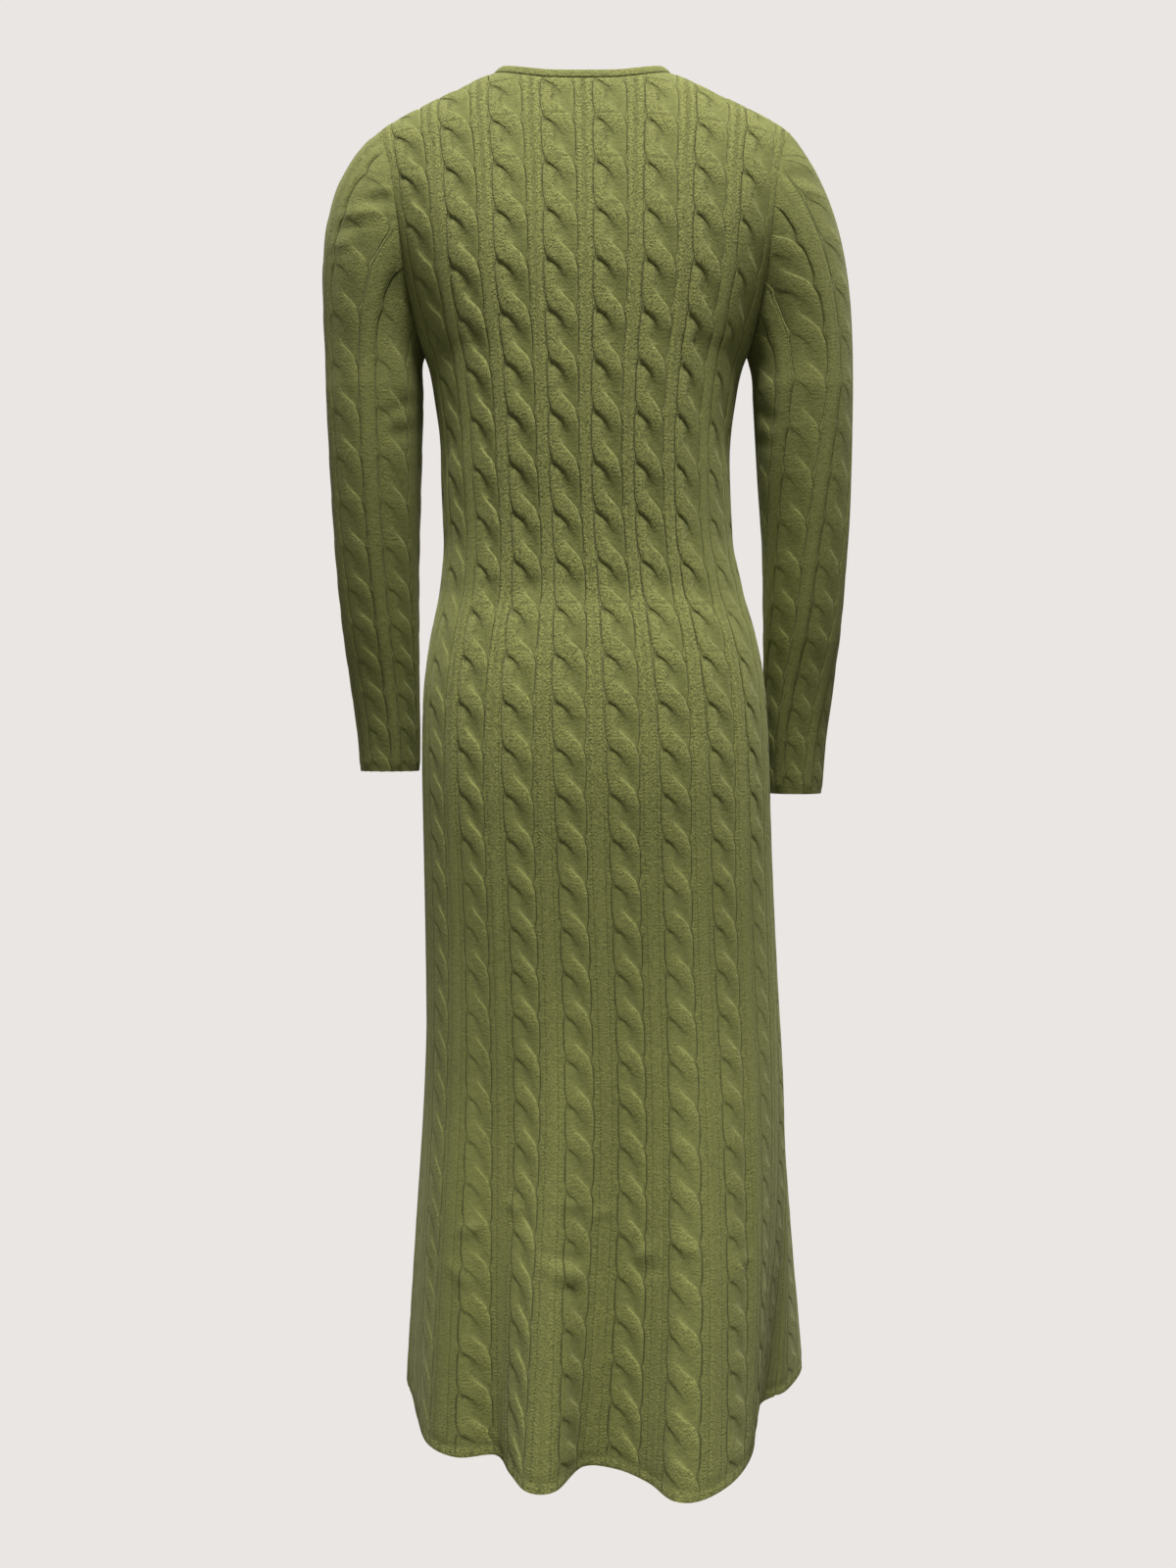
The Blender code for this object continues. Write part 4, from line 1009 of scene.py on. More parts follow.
def plain_grid(low_across, high_across, low_along, high_along, step_across, step_along):
    """Places for a plain skin, in rows that are staggered by half a step."""
    points = []
    shift = 0.0
    for along in np.arange(low_along, high_along, step_along):
        for across in np.arange(low_across, high_across, step_across):
            points.append((across + shift * step_across, along))
        shift = 0.5 - shift
    return np.array(points)


# ---- creases pressed in, one by one: sizes in millimetres, slant in degrees from straight down ----
BODY_CREASES = {
    "panel":  (1, 1, 1, 1, 1, 1, 1, 1, 1, 1, 1,
               1, 1, 1, 1, 1, 1, 1, 1, 1, 1, 1, 1, 1,
               -1, -1, -1, -1, -1, -1, -1, -1, -1, -1, -1, -1),
    "across": (-4.4, 4.5, -4.0, 4.1, -2.0, 2.4, -1.98, 2.75, 3.00, 4.10, -3.40,
               -1.72, -1.50, -0.72, -0.75, -0.60, 0.76, 0.85, 1.54, -2.60, 2.63, -0.63, -0.04, -2.80,
               -4.4, 4.3, -2.4, 1.6, 3.6, -4.0, -1.2, -1.0, 0.6, 0.7, 2.2, -2.7),
    "along":  (1.0, 0.9, 2.6, 2.3, 5.6, 5.4, 21.9, 19.6, 19.8, 22.3, 21.3,
               19.2, 19.45, 20.5, 20.15, 20.95, 20.1, 20.5, 19.8, 19.8, 20.4, 19.0, 19.25, 20.9,
               1.0, 1.1, 21.5, 20.0, 22.5, 21.0, 19.6, 20.0, 20.4, 20.8, 19.5, 20.2),
    "slant":  (-38, 36, -30, 34, -60, 55, 0, -1, -1, 0, 2,
               40, 40, 62, 70, 58, -50, -55, 55, -60, 50, 75, -65, 30,
               -34, 38, 2, -3, 0, 0, 50, 58, -60, -55, 45, -50),
    "length": (60, 66, 50, 46, 60, 55, 125, 230, 210, 46, 100,
               16, 18, 27, 22, 22, 18, 18, 15, 18, 16, 18, 14, 20,
               55, 58, 140, 180, 60, 90, 22, 20, 24, 20, 15, 17),
    "width":  (7, 8, 9, 8, 11, 12, 5, 4, 8, 4, 5,
               6, 5, 8, 5, 6, 6, 5, 5, 6, 6, 5, 5, 6,
               7, 8, 6, 6, 5, 5, 7, 5, 8, 5, 6, 6),
    "depth":  (-2.0, -1.9, -1.4, -1.2, -1.2, -1.1, -2.0, -1.9, 1.2, -1.9, -1.8,
               1.5, -1.2, 2.0, -1.0, -0.8, 1.7, -0.9, 1.4, 1.4, 1.5, 1.1, 1.2, 1.4,
               -1.8, -1.8, -2.0, -1.9, -1.8, -1.8, 1.6, -1.0, 1.8, -1.0, 1.4, 1.4),
}
# On a sleeve `across` counts cables round it from the underarm.
SLEEVE_CREASES = {
    "side":   (1, 1, 1, 1, 1, 1, 1, 1, 1,
               -1, -1, -1, -1, -1, -1, -1),
    "across": (3.60, 3.52, 3.45, 3.38, 3.30, 4.60, 4.70, 1.20, 1.35,
               2.35, 2.30, 2.28, 0.62, 0.55, 5.00, 4.90),
    "along":  (-4.30, -3.95, -3.60, -3.25, -2.90, 0.50, 1.00, 0.70, 1.40,
               -4.90, -4.58, -4.25, 0.60, 1.15, 0.70, 1.40),
    "slant":  (-55, -64, -72, -80, -88, -60, -70, 55, 62,
               60, 66, 72, 60, 66, -55, -60),
    "length": (17, 19, 19, 17, 15, 26, 22, 26, 22,
               14, 15, 14, 26, 24, 26, 22),
    "width":  (4, 4, 4, 4, 5, 6, 6, 6, 6,
               4, 4, 4, 6, 6, 6, 6),
    "depth":  (1.6, -1.2, 1.7, -1.2, 1.3, -1.2, -1.1, -1.2, -1.1,
               1.2, -1.1, 1.1, -1.2, -1.1, -1.2, -1.0),
}
# Only troughs at least this wide, in millimetres, show on the inner skin too.
DEEP_CREASE = 7


def creases_at(table, mask, across, along):
    """How far the cloth is pressed in or lifted out, in metres."""
    total = np.zeros(len(across))
    for i in np.flatnonzero(mask):
        slant = math.radians(table["slant"][i])
        x = (across - table["across"][i]) * ACROSS_MM
        y = (along - table["along"][i]) * ALONG_MM
        run = x * math.sin(slant) + y * math.cos(slant)
        off = x * math.cos(slant) - y * math.sin(slant)
        reach = np.clip(1 - (run / table["length"][i]) ** 2, 0, 1) ** 2
        total += table["depth"][i] / 1000 * reach * bell(off, table["width"][i])
    return total


# ---- the pieces: each is a wall between the knitted outer skin and a plain inner one ----

# Where the relief, the creases and the hem's fluff fade at an edge, in millimetres away from it.
FADES = {
    "at":   ("seam", "shoulder", "hem", "crease", "fluff", "cap", "cap_crease", "cuff"),
    "from": (1.0, 0.0, 6.0, 0.0, 2.0, 1.0, 1.0, 3.0),
    "over": (11.0, 4.0, 9.0, 20.0, 9.0, 12.0, 5.0, 6.0),
}
# What is left of the relief at the hem and at a cuff, and how fluffy the hem is.
HEM_RELIEF = 0.25
CUFF_RELIEF = 0.35
HEM_FLUFF = 1.1
# How long a crossing is at the hem and at a cuff, and how wide a cable is at the sleeve's cap.
HEM_ROW_MM = ALONG_MM * 0.83
CUFF_ROW_MM = 34.0
CAP_SPACING = 0.044
# The inner skin: its fluff, its stitches to a cable, and its steps in cables and crossings or in rings.
INSIDE_NAP = 0.5
INSIDE_STITCHES = 12
PANEL_INSIDE = {"across": 0.34, "along": 0.62}
PANEL_INSIDE_CLEAR_MM = 7.0
SLEEVE_INSIDE_ROUND = 48
SLEEVE_INSIDE_DOWN = 24
# Edges that turn more than this many degrees are drawn sharp.
SHARP_ANGLE = 58
# How finely a panel's outline is divided, how finely its armhole is searched, and a step for its slopes.
OUTLINE_RUNS = {"armhole": 60, "shoulder": 30, "neck": 60}
HOLE_SAMPLES = 1201
EDGE_STEP = 0.03


def fade_at(edge, away_mm):
    i = FADES["at"].index(edge)
    return ease((away_mm - FADES["from"][i]) / FADES["over"][i])


def cosine_steps(count):
    """Shares from 0 to 1, closer together at both ends."""
    return (1 - np.cos(np.linspace(0, math.pi, count + 1))) / 2


def neck_of(panel):
    return BACK_NECK if panel == BACK else FRONT_NECK


def panel_outline(panel):
    """Edge of a panel, closely divided: across, along, and the kind of run that starts at each place."""
    half_panel = CABLES_PER_PANEL / 2
    neck = neck_of(panel)
    neck_across = neck["across"][-1]
    hole_across, hole_along = armhole_curve(panel, np.linspace(1, 0, OUTLINE_RUNS["armhole"] + 1))
    seam_across = np.linspace(hole_across[-1], neck_across, OUTLINE_RUNS["shoulder"] + 1)
    seam_along = shoulder_along(panel, seam_across)
    line_across = neck_across * (1 - 2 * cosine_steps(OUTLINE_RUNS["neck"]))
    line_height = column_at(neck, "height", np.abs(line_across))
    line_along = along_at_height(panel, line_across, line_height)

    up = [(u, v, "armhole") for u, v in zip(hole_across[:-1], hole_along[:-1])]
    up += [(u, v, "shoulder") for u, v in zip(seam_across[:-1], seam_along[:-1])]
    neckline = [(u, v, "neck") for u, v in zip(line_across[:-1], line_along[:-1])]
    ends = up[1:] + neckline[:1]
    down = [(-end[0], end[1], start[2]) for start, end in zip(up, ends)][::-1]
    return (
        [(-half_panel, HEM_ALONG, "hem"), (half_panel, HEM_ALONG, "side")]
        + up + neckline + down + [(-hole_across[0], hole_along[0], "side")]
    )


def panel_edges(panel, across, along, kinds):
    """Outer and inner points on a panel's edge, drawn back from each seam."""
    middle = body_point(panel, across, along)
    out = normals_of(body_point, panel, across, along)
    pull = np.zeros_like(middle)
    on_side = kinds == "side"
    on_shoulder = kinds == "shoulder"
    on_neck = kinds == "neck"
    other_along = np.where(on_shoulder, shoulder_along(-panel, across), np.maximum(along, -0.5))
    other = normals_of(body_point, -panel, -across, other_along)
    out = np.where((on_side | on_shoulder)[:, None], unit(out + other), out)
    sideways = body_point(panel, across + EDGE_STEP, along) - body_point(panel, across - EDGE_STEP, along)
    outward = unit(sideways) * np.sign(across)[:, None]
    lift = body_point(panel, across, along - EDGE_STEP) - body_point(panel, across, along + EDGE_STEP)
    upward = unit(lift)
    pull[on_side] = outward[on_side]
    pull[on_shoulder] = np.array([0.0, -panel, 0.0])
    pull[on_neck] = upward[on_neck]

    dense = np.linspace(0, 1, HOLE_SAMPLES)
    hole_across, hole_along = armhole_curve(panel, dense)
    half = CABLES_PER_SLEEVE / 2
    for side in (LEFT, RIGHT):
        here = np.flatnonzero((kinds == "armhole") & (np.sign(across) == -side * panel))
        if not len(here):
            continue
        away = (np.abs(across[here])[:, None] - hole_across) ** 2 + (along[here][:, None] - hole_along) ** 2
        share = dense[away.argmin(axis=1)]
        front_first = (panel == FRONT) == (side == LEFT)
        place_round = half - half * share if front_first else half + half * share
        out[here], pull[here] = armhole_seam(side, place_round - SLEEVE_SET[side])
    back = middle - pull * SEAM_GAP / 2
    return back + out * WALL / 2, back - out * WALL / 2


def make_mesh(name, vertices, faces, stitches, marks, material):
    """A piece with its stitch places as UVs and one point attribute for each mark."""
    mesh = bpy.data.meshes.new(name)
    mesh.from_pydata(vertices.tolist(), [], faces)
    mesh.update()
    corner = np.empty(len(mesh.loops), np.int32)
    mesh.loops.foreach_get("vertex_index", corner)
    layer = mesh.uv_layers.new(name="knit")
    layer.data.foreach_set("uv", stitches[corner].astype(np.float32).ravel())
    for label, values in marks.items():
        attribute = mesh.attributes.new(label, "FLOAT", "POINT")
        attribute.data.foreach_set("value", values.astype(np.float32))
    mesh.shade_smooth()
    mesh.set_sharp_from_angle(angle=math.radians(SHARP_ANGLE))
    mesh.materials.append(material)
    piece = bpy.data.objects.new(name, mesh)
    bpy.context.scene.collection.objects.link(piece)
    return piece


def make_wall(name, outer, inner, inner_across, inner_along, faces, field, fade, nap, material):
    """A piece of outer points, which carry the field's stitches and marks, and plain inner points."""
    stitches = np.vstack([
        np.stack([field["stitch"], -field["along"] * ROWS_PER_CROSSING], axis=1),
        np.stack([inner_across * INSIDE_STITCHES, -inner_along * ROWS_PER_CROSSING], axis=1),
    ])
    plain = np.zeros(len(inner))
    # crease carries painted shade, and painted highlight below zero; nap carries brushed fluff and its
    # painted light; inside paints the inner skin darker.
    marks = {
        "crease": np.concatenate([field["crease"] * fade, plain]),
        "nap": np.concatenate([nap, plain + INSIDE_NAP]),
        "inside": np.concatenate([np.zeros(len(outer)), plain + 1.0]),
    }
    return make_mesh(name, np.vstack([outer, inner]), faces, stitches, marks, material)


def build_panel(name, panel, material):
    edge_across, edge_along, kinds = map(np.array, zip(*panel_outline(panel)))
    loop = flat(edge_across, edge_along)
    top = edge_along.min()
    first_row = math.floor(top) - 1 + BODY_START
    rows = math.ceil(HEM_ALONG + 2 - first_row)
    half = CABLES_PER_PANEL // 2
    field, faces = knit_field(-half - 1, CABLES_PER_PANEL + 2, first_row, rows, BODY_KNIT, False)
    depth, _ = clearance(flat(field["across"], field["along"]), loop)
    field, faces = cut_field(field, faces, depth)
    across = field["across"]
    along = field["along"]
    spots = flat(across, along)

    hole = loop[kinds == "armhole"]
    seam_away = np.concatenate([
        np.linalg.norm(part[:, None, :] - hole, axis=2).min(axis=1) for part in np.array_split(spots, 30)
    ])
    edge_away = np.abs(clearance(spots, loop)[0])
    hem_away = (HEM_ALONG - along) * HEM_ROW_MM
    fade = fade_at("seam", seam_away)
    fade *= np.where(along < 0, fade_at("shoulder", edge_away), 1.0)
    fade *= at_least(HEM_RELIEF, fade_at("hem", hem_away))
    creased = np.array(BODY_CREASES["panel"]) == panel
    press = creases_at(BODY_CREASES, creased, across, along) * fade_at("crease", edge_away)
    normal = normals_of(body_point, panel, across, along)
    lift = WALL / 2 + field["relief"] * fade + press
    outer = body_point(panel, across, along) + normal * lift[:, None]
    rim = np.array(boundary_loops(faces)[0])
    _, run_of = clearance(spots[rim], loop)
    outer[rim], rim_inner = panel_edges(panel, across[rim], along[rim], kinds[run_of])

    grid = plain_grid(-half, half, top, HEM_ALONG, PANEL_INSIDE["across"], PANEL_INSIDE["along"])
    kept, inside_faces = inner_faces(spots[rim], flat(grid[:, 0], grid[:, 1]), PANEL_INSIDE_CLEAR_MM)
    u, v = grid[kept].T
    creased &= (np.array(BODY_CREASES["width"]) >= DEEP_CREASE) & (np.array(BODY_CREASES["depth"]) < 0)
    press = creases_at(BODY_CREASES, creased, u, v)
    inner = body_point(panel, u, v) + normals_of(body_point, panel, u, v) * (press - WALL / 2)[:, None]
    inner = np.vstack([rim_inner, inner])

    first = len(outer)
    count = len(rim)
    everything = faces.tolist() + (first + inside_faces[:, ::-1]).tolist()
    for i in range(count):
        after = (i + 1) % count
        everything.append([int(rim[after]), int(rim[i]), first + i, first + after])
    nap = np.maximum(field["nap"], HEM_FLUFF * (1 - fade_at("fluff", hem_away)))
    inner_across = np.concatenate([across[rim], u])
    inner_along = np.concatenate([along[rim], v])
    return make_wall(name, outer, inner, inner_across, inner_along, everything, field, fade, nap, material)


def zip_loops(outer_loop, outer_at, inner_loop, inner_at):
    """Triangles between two closed loops that run the same way, ordered by their own places."""
    faces = []
    i = 0
    j = 0
    total_i = len(outer_loop)
    total_j = len(inner_loop)
    while i < total_i or j < total_j:
        next_i = outer_at[(i + 1) % total_i] + (CABLES_PER_SLEEVE if i + 1 >= total_i else 0)
        next_j = inner_at[(j + 1) % total_j] + (CABLES_PER_SLEEVE if j + 1 >= total_j else 0)
        a = outer_loop[i % total_i]
        b = inner_loop[j % total_j]
        if j >= total_j or (i < total_i and next_i <= next_j):
            faces.append([a, outer_loop[(i + 1) % total_i], b])
            i += 1
        else:
            faces.append([a, inner_loop[(j + 1) % total_j], b])
            j += 1
    return faces


def cut_sleeve_field(side, low):
    """A sleeve's field cut to its cap and cuff, and the places of its points round the sleeve."""
    places = np.linspace(0, CABLES_PER_SLEEVE, CAP_SAMPLES)
    cap = cap_along(side, places)
    first_row = math.floor(cap.min()) - 1 + SLEEVE_START[side]
    rows = math.ceil(low + 2 - first_row)
    field, faces = knit_field(0, CABLES_PER_SLEEVE, first_row, rows, SLEEVE_KNIT, True)
    across = field["across"]
    along = field["along"]
    slope = np.gradient(cap, places) * CAP_PITCH / CAP_SPACING
    lean = np.cos(np.arctan(np.interp(np.mod(across, CABLES_PER_SLEEVE), places, slope)))
    from_cap = (along - cap_along(side, across)) * CAP_PITCH * 1000 * lean
    from_cuff = (low - along) * CUFF_ROW_MM
    # each place is cut as a direction, so that a cut across the join stays there
    turn = across * 2 * math.pi / CABLES_PER_SLEEVE
    field["turn_x"] = np.cos(turn)
    field["turn_y"] = np.sin(turn)
    field, faces = cut_field(field, faces, np.minimum(from_cap, from_cuff))
    turn = np.arctan2(field["turn_y"], field["turn_x"])
    return field, faces, np.mod(turn * CABLES_PER_SLEEVE / 2 / math.pi, CABLES_PER_SLEEVE)


def sleeve_inside(side, low):
    """Plain inner skin in rings from cap to cuff: its places, its points and its four-sided faces."""
    ring = np.arange(SLEEVE_INSIDE_ROUND) * CABLES_PER_SLEEVE / SLEEVE_INSIDE_ROUND
    around = np.tile(ring, SLEEVE_INSIDE_DOWN + 1)
    t = np.repeat(np.arange(SLEEVE_INSIDE_DOWN + 1) / SLEEVE_INSIDE_DOWN, SLEEVE_INSIDE_ROUND)
    along = cap_along(side, around) * (1 - t) + low * t
    points = sleeve_point(side, around, along) - normals_of(sleeve_point, side, around, along) * WALL / 2
    out, way = armhole_seam(side, ring)
    points[:SLEEVE_INSIDE_ROUND] = cap_seam_at(side, ring) - out * WALL / 2 + way * SEAM_GAP / 2
    faces = []
    for j in range(SLEEVE_INSIDE_DOWN):
        for i in range(SLEEVE_INSIDE_ROUND):
            a = j * SLEEVE_INSIDE_ROUND + i
            b = j * SLEEVE_INSIDE_ROUND + (i + 1) % SLEEVE_INSIDE_ROUND
            faces.append([a, b, b + SLEEVE_INSIDE_ROUND, a + SLEEVE_INSIDE_ROUND])
    return around, along, points, faces


def build_sleeve(name, side, material):
    low = cuff_along(side)
    field, faces, around = cut_sleeve_field(side, low)
    along = field["along"]
    loops = boundary_loops(faces)
    cap_loop, cuff_loop = map(np.array, sorted(loops, key=lambda loop: along[loop].mean()))
    from_cap = (along - cap_along(side, around)) * CAP_PITCH * 1000
    from_cuff = (low - along) * CUFF_ROW_MM
    fade = fade_at("cap", from_cap) * at_least(CUFF_RELIEF, fade_at("cuff", from_cuff))
    creased = np.array(SLEEVE_CREASES["side"]) == side
    press = creases_at(SLEEVE_CREASES, creased, around, along) * fade_at("cap_crease", from_cap)
    normal = normals_of(sleeve_point, side, around, along)
    middle = sleeve_point(side, around, along)
    outer = middle + normal * (WALL / 2 + field["relief"] * fade + press)[:, None]
    outer[cuff_loop] = middle[cuff_loop] + normal[cuff_loop] * WALL / 2
    seam_out, seam_way = armhole_seam(side, around[cap_loop])
    seam = cap_seam_at(side, around[cap_loop])
    outer[cap_loop] = seam + seam_out * WALL / 2 + seam_way * SEAM_GAP / 2

    inner_around, inner_along, inner, inner_quads = sleeve_inside(side, low)
    first = len(outer)
    everything = faces.tolist() + (first + np.array(inner_quads)).tolist()
    for loop, row in ((cap_loop, 0), (cuff_loop, SLEEVE_INSIDE_DOWN)):
        ring = loop[np.argsort(around[loop])]
        inner_ring = row * SLEEVE_INSIDE_ROUND + np.arange(SLEEVE_INSIDE_ROUND)
        inner_loop = (first + inner_ring).tolist()
        strip = zip_loops(ring.tolist(), around[ring], inner_loop, inner_around[inner_ring])
        everything += [face[::-1] for face in strip] if row else strip
    return make_wall(
        name, outer, inner, inner_around, inner_along, everything, field, fade, field["nap"], material
    )


# ---- the neckband: a low tubular band that stands on the neckline ----
NECK_STEPS = 180
NECK_SMOOTHING = 3
# How much the band leans to straight up, and how far it stands off the neckline.
BAND_LEAN = 0.55
BAND_LIFT = SEAM_GAP * 0.75
# The width and height of a stitch in metres, the fluff, and below what height the foot gets painted shade.
BAND_STITCH = 0.0034
BAND_ROW = 0.0030
BAND_NAP = 0.6
BAND_FOOT = 0.0015
# The band's section: out from the neckline in half walls, and up from it in metres.
BAND_SHAPE = {
    "out": (-1.0, -0.4, 0.4, 1.0, 1.20, 1.34, 1.24,
            0.86, 0.30, -0.30, -0.86, -1.10, -1.10),
    "up":  (0.0, -0.0002, -0.0002, 0.0003, 0.00171, 0.00399, 0.00646,
            0.00855, 0.00950, 0.00950, 0.00855, 0.00627, 0.00285),
}


def neck_line():
    """Neckline all round: seam point, the way up from the cloth and the outward normal."""
    points = []
    outs = []
    for panel in (BACK, FRONT):
        neck = neck_of(panel)
        across = -neck["across"][-1] * (1 - 2 * cosine_steps(NECK_STEPS)[:-1])
        along = along_at_height(panel, across, column_at(neck, "height", np.abs(across)))
        points.append(body_point(panel, across, along))
        normal = normals_of(body_point, panel, across, along)
        corner = np.array([-across[0]])
        meet = normals_of(body_point, -panel, corner, shoulder_along(-panel, corner))[0]
        normal[0] = unit(normal[0] + meet)
        outs.append(normal)
    points = np.vstack(points)
    outs = np.vstack(outs)
    for _ in range(NECK_SMOOTHING):
        outs = unit(np.roll(outs, 1, axis=0) + outs + np.roll(outs, -1, axis=0))
    run = unit(np.roll(points, -1, axis=0) - np.roll(points, 1, axis=0))
    ups = unit(np.cross(outs, run))
    return points, ups * np.sign(ups[:, 2] + 1e-9)[:, None], outs


def build_neckband(name, material):
    points, ups, outs = neck_line()
    profile = list(zip(np.array(BAND_SHAPE["out"]) * BAND_WALL / 2, BAND_SHAPE["up"]))
    size = len(profile)
    count = len(points)
    lean = unit(ups + np.array([0.0, 0.0, BAND_LEAN]))
    step = np.linalg.norm(np.roll(points, -1, axis=0) - points, axis=1)
    run = np.concatenate([[0], np.cumsum(step)[:-1]])
    foot = points + ups * BAND_LIFT
    rows = [foot + outs * sideways + lean * rise for sideways, rise in profile]
    walk = np.concatenate([[0], np.cumsum(np.hypot(*np.diff(profile, axis=0).T))])
    knit = [np.stack([run / BAND_STITCH, np.full(count, along / BAND_ROW)], axis=1) for along in walk]
    vertices = np.stack(rows, axis=1).reshape(-1, 3)
    stitches = np.stack(knit, axis=1).reshape(-1, 2)
    faces = []
    for i in range(count):
        after = (i + 1) % count
        for j in range(size):
            k = (j + 1) % size
            faces.append([i * size + j, after * size + j, after * size + k, i * size + k])
    plain = np.zeros(len(vertices))
    marks = {
        # the band's foot, by the neckline, gets full painted shade
        "crease": np.tile([1.0 if rise < BAND_FOOT else 0.0 for _, rise in profile], count),
        "nap": plain + BAND_NAP,
        "inside": plain,
    }
    return make_mesh(name, vertices, faces, stitches, marks, material)


# ---- finishes ----


def new_group(name, inputs, outputs):
    group = bpy.data.node_groups.new(name, "ShaderNodeTree")
    for label, kind, value in inputs:
        socket = group.interface.new_socket(label, in_out="INPUT", socket_type=kind)
        if value is not None:
            socket.default_value = value
    for label, kind in outputs:
        group.interface.new_socket(label, in_out="OUTPUT", socket_type=kind)
    start = group.nodes.new("NodeGroupInput")
    end = group.nodes.new("NodeGroupOutput")
    return group, start, end


def set_inputs(node, values):
    for label, value in values.items():
        node.inputs[label].default_value = value


def maths(tree, operation, first, second=None, clamp=False):
    node = tree.nodes.new("ShaderNodeMath")
    node.operation = operation
    node.use_clamp = clamp
    for i, value in enumerate((first, second)):
        if value is None:
            continue
        if isinstance(value, (int, float)):
            node.inputs[i].default_value = value
        else:
            tree.links.new(value, node.inputs[i])
    return node.outputs[0]


def dome(tree, value):
    """1 in the middle, where the value is 0, and 0 where it is -1 or 1."""
    return maths(tree, "SUBTRACT", 1.0, maths(tree, "MULTIPLY", value, value))


def spread(tree, value, old, new):
    """The range `old` of a value stretched to the range `new`."""
    node = tree.nodes.new("ShaderNodeMapRange")
    set_inputs(node, dict(zip(("From Min", "From Max", "To Min", "To Max"), old + new)))
    tree.links.new(value, node.inputs["Value"])
    return node.outputs["Result"]


def point_mark(tree, label):
    """The values of a point attribute."""
    node = tree.nodes.new("ShaderNodeAttribute")
    node.attribute_name = label
    return node.outputs["Fac"]


LEG_SLOPE = 1.5
YARN_POWER = 0.6
NAP_NOISE = {
    "output":    ("Fibre", "Yarn shade", "Broad shade"),
    "scale":     (500.0, 210.0, 7.0),
    "detail":    (3.0, 2.0, 2.0),
    "roughness": (0.65, 0.55, 0.5),
}
WOOL = {
    "Roughness": 0.92,
    "Specular IOR Level": 0.15,
    "Sheen Weight": 0.35,
    "Sheen Roughness": 0.45,
    "Sheen Tint": (0.62, 0.63, 0.36, 1.0),
}
# The sleeves are knitted of the body's yarn; the sleeve finish is painted darker, as shade on the sleeves.
KNIT_LOOKS = {
    "finish":  ("body_knit", "sleeve_knit", "band_knit"),
    "pale":    ((0.352, 0.365, 0.112), (0.345, 0.356, 0.110), (0.340, 0.352, 0.108)),
    "deep":    ((0.070, 0.082, 0.026), (0.070, 0.082, 0.026), (0.070, 0.080, 0.026)),
    "stitch":  (0.22, 0.22, 0.50),
    "even_with_painted_light":    (0.57, 0.50, 0.55),
}
# The parts of the noises' ranges that are used, and what they are stretched to.
SLOW_NOISE = (0.3, 0.7)
FIBRE_NOISE = (0.36, 0.64)
STITCH_WANDER = (-0.16, 0.16)
SPECKLE = (-0.34, 0.46)
YARN_SHADES = (-0.08, 0.08)
BROAD_SHADES = (-0.07, 0.07)
FUR_HEIGHTS = (0.8, 3.6)
MEAN_YARN = 0.6
# How much paler the nap makes the knit: painted light where the nap is high, on the ridges and the middle
# cables, and painted shade where it is cut back, in the strands' tails.
NAP_PAINTED_LIGHT = 0.14
# How strongly the crease mark paints shade, and highlight where it is below zero.
CREASE_PAINTED_SHADE = 0.62
# Painted shade that darkens the inner skin inside the dress.
INSIDE_PAINTED_SHADE = 0.20
KNIT_BUMP = {"Strength": 0.75, "Distance": 0.0009}


def make_stitch_group():
    """Plain knit stitches: each is a V of two yarn legs, one stitch a unit of X and one row a unit of Y."""
    group, start, end = new_group(
        "knit_stitches",
        (("Knit", "NodeSocketVector", None), ("Wander", "NodeSocketFloat", 0.0)),
        (("Height", "NodeSocketFloat"), ("Yarn", "NodeSocketFloat")),
    )
    wander = start.outputs["Wander"]
    split = group.nodes.new("ShaderNodeSeparateXYZ")
    group.links.new(start.outputs["Knit"], split.inputs[0])
    column = maths(group, "FRACT", maths(group, "ADD", split.outputs["X"], wander))
    from_middle = maths(group, "ABSOLUTE", maths(group, "SUBTRACT", column, 0.5))
    lift = maths(group, "MULTIPLY", from_middle, LEG_SLOPE)
    wandered = maths(group, "ADD", split.outputs["Y"], wander)
    row = maths(group, "FRACT", maths(group, "SUBTRACT", wandered, lift))
    bow = maths(group, "SUBTRACT", maths(group, "MULTIPLY", row, 2.0), 1.0)
    side = maths(group, "SUBTRACT", maths(group, "MULTIPLY", from_middle, 4.0), 1.0)
    round_row = maths(group, "SQRT", dome(group, bow))
    height = maths(group, "MULTIPLY", round_row, maths(group, "SQRT", dome(group, side)))
    group.links.new(height, end.inputs["Height"])
    group.links.new(maths(group, "POWER", height, YARN_POWER), end.inputs["Yarn"])
    return group


def make_nap_group():
    """Brushed fibres: fine clumps of nap, slower yarn unevenness and broad shade."""
    outputs = [(label, "NodeSocketFloat") for label in NAP_NOISE["output"]]
    group, start, end = new_group("brushed_nap", (("Place", "NodeSocketVector", None),), outputs)
    for label, scale, detail, roughness in zip(*NAP_NOISE.values()):
        node = group.nodes.new("ShaderNodeTexNoise")
        set_inputs(node, {"Scale": scale, "Detail": detail, "Roughness": roughness})
        group.links.new(start.outputs["Place"], node.inputs["Vector"])
        group.links.new(node.outputs["Fac"], end.inputs[label])
    return group


STITCHES = make_stitch_group()
NAP = make_nap_group()


